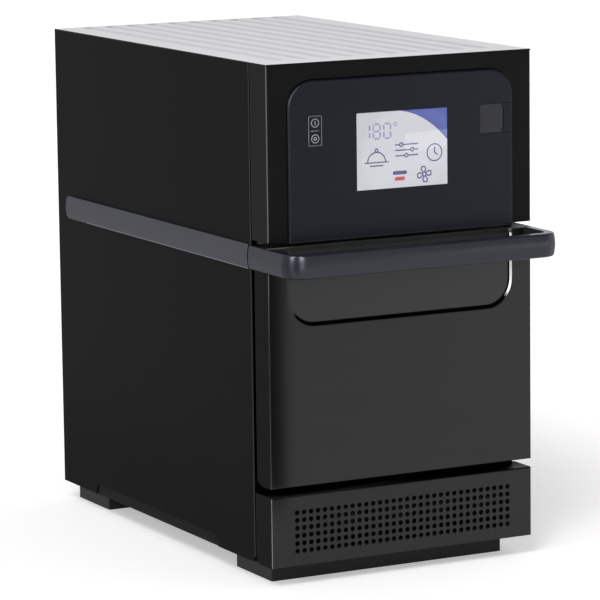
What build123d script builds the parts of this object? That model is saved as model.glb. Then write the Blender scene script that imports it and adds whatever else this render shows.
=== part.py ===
from build123d import *
import os
from math import cos, radians, sin, tan

# A countertop speed oven for a commercial kitchen, as its separate pieces.
# Millimetres. X runs to the right as the cook sees the oven, Y from the door to the back, Z up.
# The origin lies on the worktop under the middle of the whole oven, handle and cable gland included.

os.makedirs("parts", exist_ok=True)

# Overall sizes of the case
case_width = 356
case_depth = 595
case_height = 620
sheet = 1.5
overrun = 1
touch_gap = 0.3
running_gap = 0.05

# Feet
foot_height = 25
foot_depth = 94
foot_inset = 20
foot_wall = 3
foot_bays = 4
foot_edge_radius = 2
front_foot_setback = 40
rear_foot_setback = 1

# Bands of the front, from the bottom upwards
filter_height = 85
filter_door_gap = 10.3
door_height = 285.4
door_bezel_gap = 6
fascia_overlap = 2

# Depths behind the front plane
door_depth = 40
frame_setback = 46
panel_setback = 45
rear_recess = 3

# Side panels
panel_foot_cut_start = 142
panel_foot_cut_length = 352.5
panel_foot_cut_height = 13.5
panel_cut_radius = 12
panel_corner_radius = 8

# Base pan and rear panel
base_lip = 20
rear_return = 12
louvre_start = 60
louvre_margin = 16.5
louvre_height = 3
louvre_spacing = 9
louvre_rows = 8
louvre_drop = 162.5
outlet_slot_length = 50
outlet_slot_rows = 6
rear_screw_inset = 8
rear_screw_head = 4
rear_screw_head_height = 2.2
rear_screw_radius = 2
rear_screw_length = 8
rear_screw_rows = 5

# Ribbed top cover
top_flange = 18
top_flange_start = 70
top_flange_end = 12
groove_margin = 40
groove_spacing = 30.3
groove_width = 8
groove_depth = 2
groove_flare = 60
groove_front_margin = 39
groove_back_margin = 6

# Trim strips along the sides
strip_height = 29
strip_step = 0.3
strip_edge = 2.6
strip_crown = 2
strip_end_setback = 33
strip_corner_radius = 6

# Front frame
frame_flange = 20
aperture_margin = 22
aperture_rise = 49.4
aperture_height = 175
aperture_radius = 6
intake_width = 116
intake_rise = 15
intake_height = 56
electronics_margin = 43
electronics_rise = 13
electronics_drop = 31.2

# Bezel and control fascia
bezel_edge_radius = 2
bezel_return = 30
bezel_side_depth = 40.5
fascia_margin = 26.5
fascia_top_margin = 20.5
fascia_proud = 3.5
fascia_corner_radius = 33
fascia_edge_radius = 2.5
fascia_wall = 4.5
fascia_side_wall = 2.5
fascia_gap = 0.7

# Touch display and control board
display_width = 122.5
display_height_share = 0.48
display_centre_share = 0.5357
display_gap = 0.3
display_glass_thickness = 2.5
module_margin = 5
module_depth = 8
board_margin = 11
chip_share = 0.2
board_thickness = 1.6
board_standoff = 8
board_standoff_radius = 3
board_standoff_inset = 12

# Power rocker
rocker_margin = 35.6
controls_centre_share = 0.6865
rocker_width = 18.2
rocker_height = 35.6
rocker_cap = 3
rocker_gap = 0.35
rocker_pivot_depth = 6.5
trunnion_radius = 1.5
rocker_rib = 5
switch_body_width = 14.6
switch_body_height = 30
switch_body_depth = 21
switch_body_wall = 2

# Socket for a memory stick, and its flap
flap_hinge_margin = 14.8
flap_width = 31.2
flap_height = 35
flap_thickness = 1.6
flap_barrel_radius = 1.4
flap_pin_radius = 0.6
flap_pocket_depth = 3
flap_lug = 4
socket_width = 14
socket_height = 7
socket_depth = 15

# Door
door_edge_radius = 2
pocket_margin = 28.4
pocket_depth = 2.6
pocket_height = 93.6
pocket_radius = 33
pocket_slope = 5.2
pocket_edge_radius = 4
hinge_pivot_depth = 20
inner_panel_thickness = 2
plug_depth = 10
plug_margin = 6
plug_radius = 15
plug_edge_radius = 2
seal_width = 8
seal_lead = 1
seal_thickness = 5.7
door_wool_margin = 44
door_wool_radius = 6

# Door hinges
hinge_inset = 30.5
hinge_ear = 5
hinge_ear_height = 20
hinge_slot = 9
hinge_cheek = 7.5
hinge_block_drop = 13.4
hinge_block_rise = 16.4
hinge_block_depth = 30.5
hinge_pin_radius = 4
hinge_pin_end = 1
hinge_flange_width = 25
hinge_flange_height = 40

# Interlock tongues and switches
tongue_inset = 59.5
tongue_width = 3
tongue_length = 24
tongue_drop = 18
tongue_height = 8
tongue_slot_width = 6
tongue_slot_rise = 8
tongue_base_width = 17
tongue_base_height = 20
interlock_width = 15
interlock_depth = 20
interlock_height = 16
plunger_radius = 1.5
plunger_length = 1.2

# Handle
handle_reach = 64
handle_crown = 2
handle_thickness = 12.6
handle_height = 28.4
handle_drop = 29
handle_proud = 3
handle_inner_radius = 10.4
handle_edge_radius = 3
handle_tail_gap = 3

# Filter cover and filter
filter_edge_radius = 2
filter_rear_radius = 10
filter_rows = 6
hole_spacing = 9.3
hole_radius = 3.05
hole_field_margin = 33
hole_field_drop = 1.3
filter_flange = 20
mesh_margin = 7.8
mesh_depth = 8
mesh_frame = 6
mesh_bars = 11
mesh_bar = 2
magnet_radius = 8
magnet_inset = 11
magnet_clear = 0.3

# Oven cavity
cavity_wall = 1.2
jet_duct_height = 36
plenum_depth = 62.8
chamber_depth = 318.5
well_lap = 25
well_depth = 20
feed_slot_length = 60
feed_slot_width = 22
feed_slot_offset = 30
ledge_width = 8
ledge_setback = 12
ledge_end = 18
shaft_clearance_radius = 9
exhaust_size = 48

# Plates inside the cavity
plate_side_gap = 0.4
impinger_overhang = 2
jet_radius = 6
jet_spacing = 40
jet_margin = 30
return_hole_radius = 4
return_hole_spacing = 14
return_hole_count = 9
ceramic_side_margin = 31
ceramic_end_margin = 34.25
ceramic_thickness = 5
ceramic_radius = 10
cook_plate_side_gap = 4
cook_plate_end_gap = 7.25
cook_plate_rim = 10
cook_plate_floor = 3
cook_plate_wall = 2
cook_plate_radius = 12
cook_foot_height = 7.8
cook_foot_radius = 6
cook_foot_inset = 14

# Hot air system
impeller_radius = 80
impeller_disc = 1.5
impeller_rear_gap = 9
blade_depth = 28
blade_count = 12
blade_thickness = 1.2
blade_inner_radius = 42
hub_radius = 12
motor_shaft_radius = 4
motor_radius = 42
motor_length = 80
motor_bore_depth = 40
motor_plate = 2
motor_plate_size = 110
motor_spacer_radius = 5
motor_spacer_inset = 12
element_ring_radius = 93
element_radius = 4
element_angle = 300
element_collar_radius = 7
element_collar = 3
element_tail = 25
sensor_radius = 1.5
sensor_x = 60
sensor_z_drop = 80
sensor_reach = 30

# Heat insulation
wool_side_gap = 4.5
wool_top = 14.8
wool_rear = 15
wool_setback = 70
wool_hole_gap = 1

# Microwave system
waveguide_width = 88
waveguide_height = 40
waveguide_wall = 1.5
waveguide_lead = 45
waveguide_length = 365
magnetron_back = 45
antenna_radius = 8
antenna_height = 16
antenna_hole_gap = 4
magnetron_width = 90
magnetron_depth = 80
magnetron_height = 52
magnetron_fins = 7
fin_width_share = 0.8
fin_depth_share = 0.9
magnetron_flange = 4
cathode_box_height = 22
cathode_box_width = 60
stirrer_gap = 15
stirrer_blades = 3
stirrer_hub_radius = 8
stirrer_hub_height = 8
stirrer_blade = 2
stirrer_blade_width = 34
stirrer_rise = 4
stirrer_shaft_radius = 3
stirrer_shaft_hole = 5
stirrer_motor_radius = 25
stirrer_motor_height = 36
stirrer_bore_depth = 16

# Electrical parts in the base
transformer_start = 195
transformer_width = 90
transformer_depth = 100
transformer_height = 82
transformer_foot = 3
winding_overhang = 14
winding_height_share = 0.62
capacitor_start = 195
capacitor_width = 50
capacitor_length = 92
capacitor_height = 34
capacitor_terminal_radius = 3
capacitor_terminal_height = 10
mains_filter_start = 500
mains_filter_width = 66
mains_filter_depth = 72
mains_filter_height = 40
post_inset = 19.7
post_width = 25
post_depth = 25
post_front_setback = 90
post_rear_setback = 385

# Cooling fan
fan_size = 119
fan_depth = 38
fan_bore_radius = 56
fan_tip_gap = 1.5
fan_hub_radius = 22
fan_blades = 7
fan_blade_thickness = 2
fan_blade_twist = 35
fan_blade_share = 0.8
fan_shaft_radius = 2
fan_spider = 4
fan_spider_arm = 5
fan_spider_arms = 4
fan_hub_gap = 1

# Electronics above the cavity
tray_lip = 12
tray_setback = 80
tray_duct_gap = 8.6
relay_board_side_gap = 26.5
relay_board_setback = 150
relay_board_width = 180
relay_board_depth = 130
relay_size = 26
relay_height = 20
relay_spacing = 38
relay_count = 4
duct_size = 60
duct_rise = 88
catalyst_height = 24
catalyst_lift = 3
catalyst_cell = 8
catalyst_cell_spacing = 11
catalyst_cells = 5

# Cable gland, with no cable
gland_side_margin = 56.5
gland_rise = 45
gland_thread_radius = 10
gland_bore_radius = 5.5
gland_hex = 12
gland_nut = 5
gland_cap = 10
gland_inner_length = 10

# Levels and planes worked out from the sizes above
half_width = case_width / 2
inner_half = half_width - sheet
gland_reach = gland_nut + gland_cap - rear_recess
total_depth = handle_reach + handle_crown + case_depth + gland_reach
front = handle_reach + handle_crown - total_depth / 2
back = front + case_depth
door_back = front + door_depth
frame_face = front + frame_setback
frame_back = frame_face + sheet
panel_front = front + panel_setback
rear_face = back - rear_recess
rear_inner = rear_face - sheet
base_floor = foot_height + sheet
filter_bottom = foot_height + touch_gap
filter_top = foot_height + filter_height + touch_gap
door_bottom = filter_top + filter_door_gap
door_top = door_bottom + door_height
bezel_bottom = door_top + door_bezel_gap
roof = case_height - sheet
groove_under = roof - groove_depth - touch_gap
handle_bottom = door_top - handle_drop
hinge_y = front + hinge_pivot_depth
hinge_z = door_bottom + door_depth - hinge_pivot_depth
hinge_x = half_width - hinge_inset
tongue_x = half_width - tongue_inset
tongue_bottom = door_top - tongue_drop
aperture_width = case_width - 2 * aperture_margin
aperture_bottom = door_bottom + aperture_rise
impinger_z = aperture_bottom + aperture_height
gland_x = gland_side_margin - inner_half
gland_z = foot_height + gland_rise


def block(x, y, z, mode=Mode.ADD):
    """A plain block between two values of x, of y and of z."""
    middle = ((x[0] + x[1]) / 2, (y[0] + y[1]) / 2, (z[0] + z[1]) / 2)
    with Locations(middle):
        Box(x[1] - x[0], y[1] - y[0], z[1] - z[0], mode=mode)


def mirrored_block(x, y, z, mode=Mode.ADD):
    """The same block on the right and on the left of the oven."""
    block(x, y, z, mode)
    block((-x[1], -x[0]), y, z, mode)


def rod(start, direction, radius, length, mode=Mode.ADD):
    """A round bar or hole that starts at a point and runs in a direction."""
    with Locations(Plane(origin=start, z_dir=direction)):
        Cylinder(radius, length, align=(Align.CENTER, Align.CENTER, Align.MIN), mode=mode)


def across(centre, width):
    """The two ends of a width about its centre."""
    return (centre - width / 2, centre + width / 2)


def upwards(start, length):
    """The two ends of a length from its start."""
    return (start, start + length)


def finish(builder, label):
    """Labels a finished piece and writes it."""
    builder.part.label = label
    export_step(builder.part, "parts/" + label + ".step")


# Base pan, a folded tray that everything stands on
with BuildPart() as base_pan:
    block((-inner_half, inner_half), (frame_back, rear_inner), (foot_height, base_floor))
    mirrored_block((inner_half - sheet, inner_half), (frame_back, rear_inner), upwards(base_floor, base_lip))
    block((sheet - inner_half, inner_half - sheet), (rear_inner - sheet, rear_inner),
          upwards(base_floor, base_lip))
finish(base_pan, "base_pan")


# Feet, two wide hollow plinths that are open below
def make_foot(start, label):
    with BuildPart() as foot:
        block((foot_inset - half_width, half_width - foot_inset), upwards(start, foot_depth), (0, foot_height))
        fillet(foot.edges().filter_by(Axis.Z), foot_edge_radius)
        bay_width = (case_width - 2 * foot_inset - (foot_bays + 1) * foot_wall) / foot_bays
        for bay in range(foot_bays):
            bay_left = foot_inset - half_width + foot_wall + bay * (bay_width + foot_wall)
            block(upwards(bay_left, bay_width), (start + foot_wall, start + foot_depth - foot_wall),
                  (0, foot_height - foot_wall), Mode.SUBTRACT)
    finish(foot, label)


make_foot(front + front_foot_setback, "front_foot")
make_foot(back - rear_foot_setback - foot_depth, "rear_foot")


# Side panels, flat black sheets with a long cut along the bottom edge
def make_side_panel(outer_x, label):
    cut_centre = front + panel_foot_cut_start + panel_foot_cut_length / 2
    with BuildPart() as panel:
        with BuildSketch(Plane.YZ.offset(outer_x)):
            with Locations(((panel_front + back) / 2, (foot_height + roof) / 2)):
                Rectangle(back - panel_front, roof - foot_height)
            with Locations((cut_centre, foot_height)):
                RectangleRounded(panel_foot_cut_length, 2 * panel_foot_cut_height, panel_cut_radius,
                                 mode=Mode.SUBTRACT)
        extrude(amount=sheet)
        corner = panel.edges().filter_by(Axis.X).group_by(Axis.Z)[0].sort_by(Axis.Y)[0]
        fillet(corner, panel_corner_radius)
    finish(panel, label)


make_side_panel(-half_width, "side_panel_left")
make_side_panel(inner_half, "side_panel_right")


# Trim strips, grey mouldings that carry the line of the handle along the sides
def make_trim_strip(side, label):
    strip_start = panel_front
    strip_end = back - strip_end_setback
    strip_bottom = handle_bottom + strip_step
    strip_top = strip_bottom + strip_height
    wall_x = side * half_width
    edge_x = side * (half_width + strip_edge)
    crown_x = side * (half_width + strip_edge + strip_crown)
    with BuildPart() as strip:
        with BuildSketch(Plane.XZ.offset(-strip_end)):
            with BuildLine():
                Line((wall_x, strip_bottom), (edge_x, strip_bottom))
                ThreePointArc((edge_x, strip_bottom), (crown_x, (strip_bottom + strip_top) / 2),
                              (edge_x, strip_top))
                Line((edge_x, strip_top), (wall_x, strip_top))
                Line((wall_x, strip_top), (wall_x, strip_bottom))
            make_face()
        extrude(amount=strip_end - strip_start)
        rear_corners = strip.edges().filter_by(Axis.X).group_by(Axis.Y)[-1]
        fillet(rear_corners, strip_corner_radius)
    finish(strip, label)


make_trim_strip(-1, "trim_strip_left")
make_trim_strip(1, "trim_strip_right")

# Top cover, a pale sheet with pressed grooves that spans case and bezel
groove_count = 1 + int((case_width - 2 * groove_margin) / groove_spacing)
groove_length = case_depth - groove_front_margin - groove_back_margin
groove_middle = front + groove_front_margin + groove_length / 2
groove_slope = groove_depth * tan(radians(groove_flare))
with BuildPart() as top_cover:
    block((-half_width, half_width), (front, back), (roof, case_height))
    mirrored_block((inner_half - sheet, inner_half), (front + top_flange_start, rear_inner - top_flange_end),
                   (roof - top_flange, roof))
    with BuildSketch(Plane.XY.offset(roof - groove_depth)):
        with Locations((0, groove_middle)):
            with GridLocations(groove_spacing, 0, groove_count, 1):
                SlotOverall(groove_length, groove_width + 2 * groove_slope, rotation=90)
    extrude(amount=groove_depth)
    with BuildSketch(Plane.XY.offset(case_height - groove_depth)):
        with Locations((0, groove_middle)):
            with GridLocations(groove_spacing, 0, groove_count, 1):
                SlotOverall(groove_length - 2 * groove_slope, groove_width, rotation=90)
    extrude(amount=groove_depth, taper=-groove_flare, mode=Mode.SUBTRACT)
finish(top_cover, "top_cover")

# Rear panel, with louvres for the cooling air, an outlet grille and the hole of the cable gland
duct_top = impinger_z + jet_duct_height + cavity_wall + duct_rise
screw_low = base_floor + base_lip + rear_screw_inset
screw_high = roof - top_flange - rear_screw_inset
screw_rise = (screw_high - screw_low) / (rear_screw_rows - 1)
screw_middle = (screw_high + screw_low) / 2
louvre_end = inner_half - louvre_margin
with BuildPart() as rear_panel:
    block((-inner_half, inner_half), (rear_inner, rear_face), (foot_height, roof))
    mirrored_block((inner_half - sheet, inner_half), (rear_inner - rear_return + 2 * sheet, rear_inner),
                   (base_floor + base_lip + sheet, roof - top_flange - sheet))
    with BuildSketch(Plane.XZ.offset(-rear_face)):
        with Locations((0, roof - louvre_drop)):
            with GridLocations(louvre_end + louvre_start, louvre_spacing, 2, louvre_rows):
                SlotOverall(louvre_end - louvre_start, louvre_height)
        with Locations((0, duct_top - duct_size / 2)):
            with GridLocations(0, louvre_spacing, 1, outlet_slot_rows):
                SlotOverall(outlet_slot_length, louvre_height)
        with Locations((gland_x, gland_z)):
            Circle(gland_thread_radius + running_gap)
        with Locations((0, screw_middle)):
            with GridLocations(2 * (inner_half - rear_screw_inset), screw_rise, 2, rear_screw_rows):
                Circle(rear_screw_radius + running_gap)
    extrude(amount=rear_face - rear_inner, mode=Mode.SUBTRACT)
finish(rear_panel, "rear_panel")

# Screws of the rear panel, pan heads in two columns
with BuildPart() as rear_panel_screws:
    with BuildSketch(Plane.XZ.offset(-rear_face)):
        with Locations((0, screw_middle)):
            with GridLocations(2 * (inner_half - rear_screw_inset), screw_rise, 2, rear_screw_rows):
                Circle(rear_screw_head)
    extrude(amount=-rear_screw_head_height)
    with BuildSketch(Plane.XZ.offset(-rear_face)):
        with Locations((0, screw_middle)):
            with GridLocations(2 * (inner_half - rear_screw_inset), screw_rise, 2, rear_screw_rows):
                Circle(rear_screw_radius)
    extrude(amount=rear_screw_length)
finish(rear_panel_screws, "rear_panel_screws")

# Front frame, the steel front of the chassis with the oven mouth
intake_z = foot_height + intake_rise + intake_height / 2
electronics_width = case_width - 2 * electronics_margin
electronics_height = groove_under - electronics_drop - bezel_bottom - electronics_rise
electronics_z = bezel_bottom + electronics_rise + electronics_height / 2
with BuildPart() as front_frame:
    block((-inner_half, inner_half), (frame_face, frame_back), (base_floor, groove_under))
    mirrored_block((inner_half - sheet, inner_half), (frame_back, frame_back + frame_flange),
                   (base_floor + base_lip + sheet, roof))
    with BuildSketch(Plane.XZ.offset(-frame_back)):
        with Locations((0, aperture_bottom + aperture_height / 2)):
            RectangleRounded(aperture_width, aperture_height, aperture_radius)
        with Locations((0, intake_z)):
            RectangleRounded(intake_width, intake_height, aperture_radius)
        with Locations((0, electronics_z)):
            RectangleRounded(electronics_width, electronics_height, aperture_radius)
    extrude(amount=sheet, mode=Mode.SUBTRACT)
    mirrored_block(across(hinge_x, hinge_ear + 2 * touch_gap), (frame_face, frame_back),
                   across(hinge_z, hinge_ear_height + 2 * touch_gap), Mode.SUBTRACT)
    slot_top = tongue_bottom + tongue_height + tongue_slot_rise
    mirrored_block(across(tongue_x, tongue_slot_width), (frame_face, frame_back),
                   (tongue_bottom - tongue_width, slot_top), Mode.SUBTRACT)
finish(front_frame, "front_frame")

# Upper bezel, a black steel surround of the controls
fascia_width = case_width - 2 * fascia_margin
fascia_bottom = bezel_bottom - fascia_overlap
fascia_top = case_height - fascia_top_margin
fascia_middle = (fascia_bottom + fascia_top) / 2
fascia_height = fascia_top - fascia_bottom
with BuildPart() as front_bezel:
    block((-half_width, half_width), (front, frame_face), (bezel_bottom, roof))
    upright_edges = front_bezel.edges().filter_by(Axis.Z).group_by(Axis.Y)[0]
    lower_edge = front_bezel.edges().filter_by(Axis.X).group_by(Axis.Y)[0].sort_by(Axis.Z)[0]
    fillet(upright_edges + [lower_edge], bezel_edge_radius)
    block((-inner_half, inner_half), (front + sheet, frame_face), (bezel_bottom + sheet, roof - sheet),
          Mode.SUBTRACT)
    block((-inner_half, inner_half), (front + bezel_return, frame_face), (roof - sheet, roof), Mode.SUBTRACT)
    mirrored_block((inner_half, half_width), (front + bezel_side_depth, frame_face),
                   (bezel_bottom, roof), Mode.SUBTRACT)
    with BuildSketch(Plane.XZ.offset(-frame_face)) as fascia_hole:
        with Locations((0, fascia_middle)):
            Rectangle(fascia_width + 2 * fascia_gap, fascia_height + 2 * fascia_gap)
        fillet(fascia_hole.vertices().group_by(Axis.Y)[-1], fascia_corner_radius + fascia_gap)
    extrude(amount=frame_setback, mode=Mode.SUBTRACT)
finish(front_bezel, "front_bezel")

# Control fascia, a deep moulded housing with the display, the rocker and the flap
fascia_face = front - fascia_proud
fascia_rear = fascia_face + fascia_wall
display_height = fascia_height * display_height_share
display_middle = fascia_bottom + fascia_height * display_centre_share
rocker_x = rocker_margin - fascia_width / 2
rocker_z = fascia_bottom + fascia_height * controls_centre_share
flap_bottom = rocker_z - flap_height / 2
flap_top = rocker_z + flap_height / 2
flap_pivot_x = fascia_width / 2 - flap_hinge_margin
flap_x = flap_pivot_x - flap_width
flap_pivot_y = fascia_face + flap_barrel_radius
tab_left = flap_pivot_x + flap_barrel_radius + touch_gap
tab_right = fascia_width / 2 - fascia_edge_radius
pocket_floor = fascia_face + flap_pocket_depth
socket_middle = (flap_x + flap_width / 2, rocker_z)
with BuildPart() as control_fascia:
    with BuildSketch(Plane.XZ.offset(-frame_face)) as fascia_outline:
        with Locations((0, fascia_middle)):
            Rectangle(fascia_width, fascia_height)
        fillet(fascia_outline.vertices().group_by(Axis.Y)[-1], fascia_corner_radius)
    extrude(amount=frame_face - fascia_face)
    fillet(control_fascia.faces().sort_by(Axis.Y)[0].edges(), fascia_edge_radius)
    with BuildSketch(Plane.XZ.offset(-frame_face)) as fascia_inside:
        with Locations((0, fascia_middle)):
            Rectangle(fascia_width - 2 * fascia_side_wall, fascia_height - 2 * fascia_side_wall)
        fillet(fascia_inside.vertices().group_by(Axis.Y)[-1], fascia_corner_radius - fascia_side_wall)
    extrude(amount=frame_face - fascia_rear, mode=Mode.SUBTRACT)
    block(across(0, display_width + 2 * display_gap), (fascia_face, fascia_rear),
          across(display_middle, display_height + 2 * display_gap), Mode.SUBTRACT)
    block(across(rocker_x, rocker_width + 2 * rocker_gap), (fascia_face, fascia_rear),
          across(rocker_z, rocker_height + 2 * rocker_gap), Mode.SUBTRACT)
    block((flap_x - touch_gap, tab_right), (fascia_face, pocket_floor),
          (flap_bottom - touch_gap, flap_top + touch_gap), Mode.SUBTRACT)
    block(across(socket_middle[0], socket_width), (pocket_floor, fascia_rear),
          across(socket_middle[1], socket_height), Mode.SUBTRACT)
finish(control_fascia, "control_fascia")

# Display glass, flush in the fascia
glass_back = fascia_face + display_glass_thickness
with BuildPart() as display_glass:
    block(across(0, display_width), (fascia_face, glass_back), across(display_middle, display_height))
finish(display_glass, "display_glass")

# Display module behind the glass
module_back = fascia_rear + module_depth
with BuildPart() as display_module:
    block(across(0, display_width), (glass_back, fascia_rear), across(display_middle, display_height))
    block(across(0, display_width + 2 * module_margin), (fascia_rear, module_back),
          across(display_middle, display_height + 2 * module_margin))
finish(display_module, "display_module")

# Control board on four standoffs behind the display module
board_front = module_back + board_standoff
board_rear = board_front + board_thickness
board_width = display_width + 2 * board_margin
board_height = display_height + 2 * board_margin
chip_size = board_height * chip_share
with BuildPart() as control_board:
    block(across(0, board_width), (board_front, board_rear), across(display_middle, board_height))
    with BuildSketch(Plane.XZ.offset(-board_front)):
        with Locations((0, display_middle)):
            with GridLocations(display_width - board_standoff_inset,
                               display_height - board_standoff_inset, 2, 2):
                Circle(board_standoff_radius)
    extrude(amount=board_standoff)
    for chip_x, chip_z in ((-chip_size, chip_size), (chip_size, -chip_size)):
        block(across(chip_x, chip_size), upwards(board_rear, board_thickness),
              across(display_middle + chip_z, chip_size))
    for column in range(3):
        plug_x = (column - 1) * 2 * chip_size
        block(across(plug_x, chip_size), upwards(board_rear, board_standoff),
              across(display_middle - board_height / 2 + chip_size / 2, chip_size / 2))
finish(control_board, "control_board")

# Power rocker, which rocks on two trunnions and springs back to level
rocker_y = fascia_face + rocker_pivot_depth
cap_back = fascia_face + rocker_cap
with BuildPart() as power_rocker:
    block(across(rocker_x, rocker_width), (fascia_face, cap_back), across(rocker_z, rocker_height))
    fillet(power_rocker.edges().filter_by(Axis.Y), trunnion_radius)
    block(across(rocker_x, rocker_width / 3), (cap_back, rocker_y), across(rocker_z, rocker_rib))
    rod((rocker_x - switch_body_width / 2, rocker_y, rocker_z), (1, 0, 0), trunnion_radius, switch_body_width)
finish(power_rocker, "power_rocker")

# Switch body behind the rocker, with the bearings of the trunnions
with BuildPart() as power_switch_body:
    block(across(rocker_x, switch_body_width), upwards(fascia_rear, switch_body_depth),
          across(rocker_z, switch_body_height))
    block(across(rocker_x, switch_body_width - 2 * switch_body_wall),
          upwards(fascia_rear, switch_body_depth / 2),
          across(rocker_z, switch_body_height - 2 * switch_body_wall), Mode.SUBTRACT)
    rod((rocker_x - switch_body_width / 2, rocker_y, rocker_z), (1, 0, 0),
        trunnion_radius + running_gap, switch_body_width, Mode.SUBTRACT)
    block(across(rocker_x, switch_body_width + 2 * switch_body_wall), upwards(fascia_rear, switch_body_wall),
          upwards(rocker_z + switch_body_height / 2, switch_body_wall))
    for blade_x in (-1, 1):
        block(across(rocker_x + blade_x * switch_body_width / 4, switch_body_wall),
              upwards(fascia_rear + switch_body_depth, switch_body_depth / 3), across(rocker_z, rocker_rib))
finish(power_switch_body, "power_switch_body")

# Flap over the memory stick socket, with a barrel on its right edge
barrel_bottom = flap_bottom + flap_lug + touch_gap
barrel_length = flap_height - 2 * (flap_lug + touch_gap)
with BuildPart() as usb_flap:
    block((flap_x, flap_pivot_x), upwards(fascia_face, flap_thickness), upwards(barrel_bottom, barrel_length))
    block((flap_x, flap_pivot_x - flap_barrel_radius - touch_gap), upwards(fascia_face, flap_thickness),
          (flap_bottom, flap_top))
    rod((flap_pivot_x, flap_pivot_y, barrel_bottom), (0, 0, 1), flap_barrel_radius, barrel_length)
    rod((flap_pivot_x, flap_pivot_y, barrel_bottom), (0, 0, 1), flap_pin_radius + running_gap, barrel_length,
        Mode.SUBTRACT)
finish(usb_flap, "usb_flap")

# Tab beside the flap, with two lugs and the pin of the flap
with BuildPart() as usb_flap_tab:
    block((tab_left, tab_right), (fascia_face, pocket_floor), (flap_bottom, flap_top))
    for lug_bottom in (flap_bottom, flap_top - flap_lug):
        block((flap_pivot_x, tab_left), (fascia_face, fascia_face + 2 * flap_barrel_radius),
              upwards(lug_bottom, flap_lug))
        rod((flap_pivot_x, flap_pivot_y, lug_bottom), (0, 0, 1), flap_barrel_radius, flap_lug)
    rod((flap_pivot_x, flap_pivot_y, flap_bottom), (0, 0, 1), flap_pin_radius, flap_height)
finish(usb_flap_tab, "usb_flap_tab")

# Memory stick socket behind the flap
with BuildPart() as usb_socket:
    block(across(socket_middle[0], socket_width + 2 * sheet), upwards(fascia_rear, socket_depth),
          across(socket_middle[1], socket_height + 2 * sheet))
    block(across(socket_middle[0], socket_width - sheet), upwards(fascia_rear, socket_depth - sheet),
          across(socket_middle[1], socket_height - sheet), Mode.SUBTRACT)
    block(across(socket_middle[0], socket_width - 2 * sheet), upwards(fascia_rear, socket_depth - sheet),
          across(socket_middle[1], sheet))
finish(usb_socket, "usb_socket")


# Cuts in every layer of the door for the two hinge ears
def cut_hinge_slots():
    mirrored_block(across(hinge_x, hinge_slot),
                   (hinge_y - hinge_ear_height / 2 - sheet, frame_face),
                   (door_bottom - overrun, hinge_z + hinge_ear_height / 2 + sheet), Mode.SUBTRACT)


# Side view of the door, with its lower rear corner rounded about the hinge
def door_outline(inset):
    low = door_bottom + inset
    high = door_top - inset
    near = front + inset
    corner = door_depth - hinge_pivot_depth - inset
    with BuildSketch(Plane.YZ.offset(inset - half_width)) as side_view:
        with BuildLine():
            Line((hinge_y, low), (near, low))
            Line((near, low), (near, high))
            Line((near, high), (door_back, high))
            Line((door_back, high), (door_back, hinge_z))
            if inset > 0:
                Line((door_back, hinge_z), (door_back - inset, hinge_z))
            RadiusArc((door_back - inset, hinge_z), (hinge_y, low), corner)
        make_face()
    return side_view.sketch


# Outline of the hand pocket at a depth, which runs out at the top of the door
def pocket_outline(margin, depth):
    pocket_width = case_width - 2 * pocket_margin
    height = pocket_height + margin
    with BuildSketch(Plane.XZ.offset(-(front + depth))) as outline:
        with Locations((0, door_top - height / 2)):
            Rectangle(pocket_width + 2 * margin, height)
        fillet(outline.vertices().group_by(Axis.Y)[0], pocket_radius + margin)
    return outline.sketch


# The pressed pocket with its sloping sides, from its floor to the face of the door. A thickness
# gives the back of the sheet instead of its front.
def pocket_sections(thickness):
    steepness = pocket_slope / pocket_depth
    lead = thickness * ((1 + steepness ** 2) ** (1 / 2) - steepness) - pocket_slope / 2
    depth = pocket_depth + thickness
    return [pocket_outline(lead, depth), pocket_outline(lead + depth * steepness, 0)]


# True of an edge on the outline of the door's face, and not of the rim of its pocket
def lies_on_the_outline(edge):
    middle = edge.center()
    on_side = half_width - abs(middle.X) < door_edge_radius
    return on_side or not door_bottom + door_edge_radius < middle.Z < door_top - door_edge_radius


def lies_inside_the_door(edge):
    return not lies_on_the_outline(edge)


# Door skin, a brushed black steel pan that is open at the back
with BuildPart() as door_skin:
    extrude(door_outline(0), amount=case_width)
    extrude(door_outline(sheet), amount=case_width - 2 * sheet, mode=Mode.SUBTRACT)
    loft(pocket_sections(sheet), ruled=True)
    loft(pocket_sections(0), ruled=True, mode=Mode.SUBTRACT)
    rim = door_skin.faces().sort_by(Axis.Y)[0].edges().filter_by(lies_inside_the_door)
    fillet(rim, pocket_edge_radius)
    pocket_floor_face = door_skin.faces().filter_by(Axis.Y).group_by(Axis.Y)[2][0]
    fillet(pocket_floor_face.edges().filter_by(lies_inside_the_door), pocket_edge_radius)
    outer = door_skin.faces().sort_by(Axis.Y)[0].edges().filter_by(lies_on_the_outline)
    fillet(outer, door_edge_radius)
    cut_hinge_slots()
finish(door_skin, "door_skin")

# Inner panel of the door, with a raised plug that fills the oven mouth
panel_face = door_back - inner_panel_thickness
plug_middle = aperture_bottom + aperture_height / 2
with BuildPart() as door_inner_panel:
    block((-inner_half, inner_half), (panel_face, door_back), (hinge_z, door_top - sheet))
    with BuildSketch(Plane.XZ.offset(-door_back)):
        with Locations((0, plug_middle)):
            RectangleRounded(aperture_width - 2 * plug_margin, aperture_height - 2 * plug_margin, plug_radius)
    extrude(amount=-plug_depth)
    fillet(door_inner_panel.faces().sort_by(Axis.Y)[-1].edges(), plug_edge_radius)
    cut_hinge_slots()
finish(door_inner_panel, "door_inner_panel")

# Wool pad inside the door
with BuildPart() as door_insulation:
    wool_front = front + pocket_depth + sheet + touch_gap
    block((door_wool_margin - half_width, half_width - door_wool_margin), (wool_front, panel_face),
          (hinge_z + hinge_block_rise, door_top - sheet - door_wool_radius))
    fillet(door_insulation.edges().filter_by(Axis.Y), door_wool_radius)
finish(door_insulation, "door_insulation")

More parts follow.
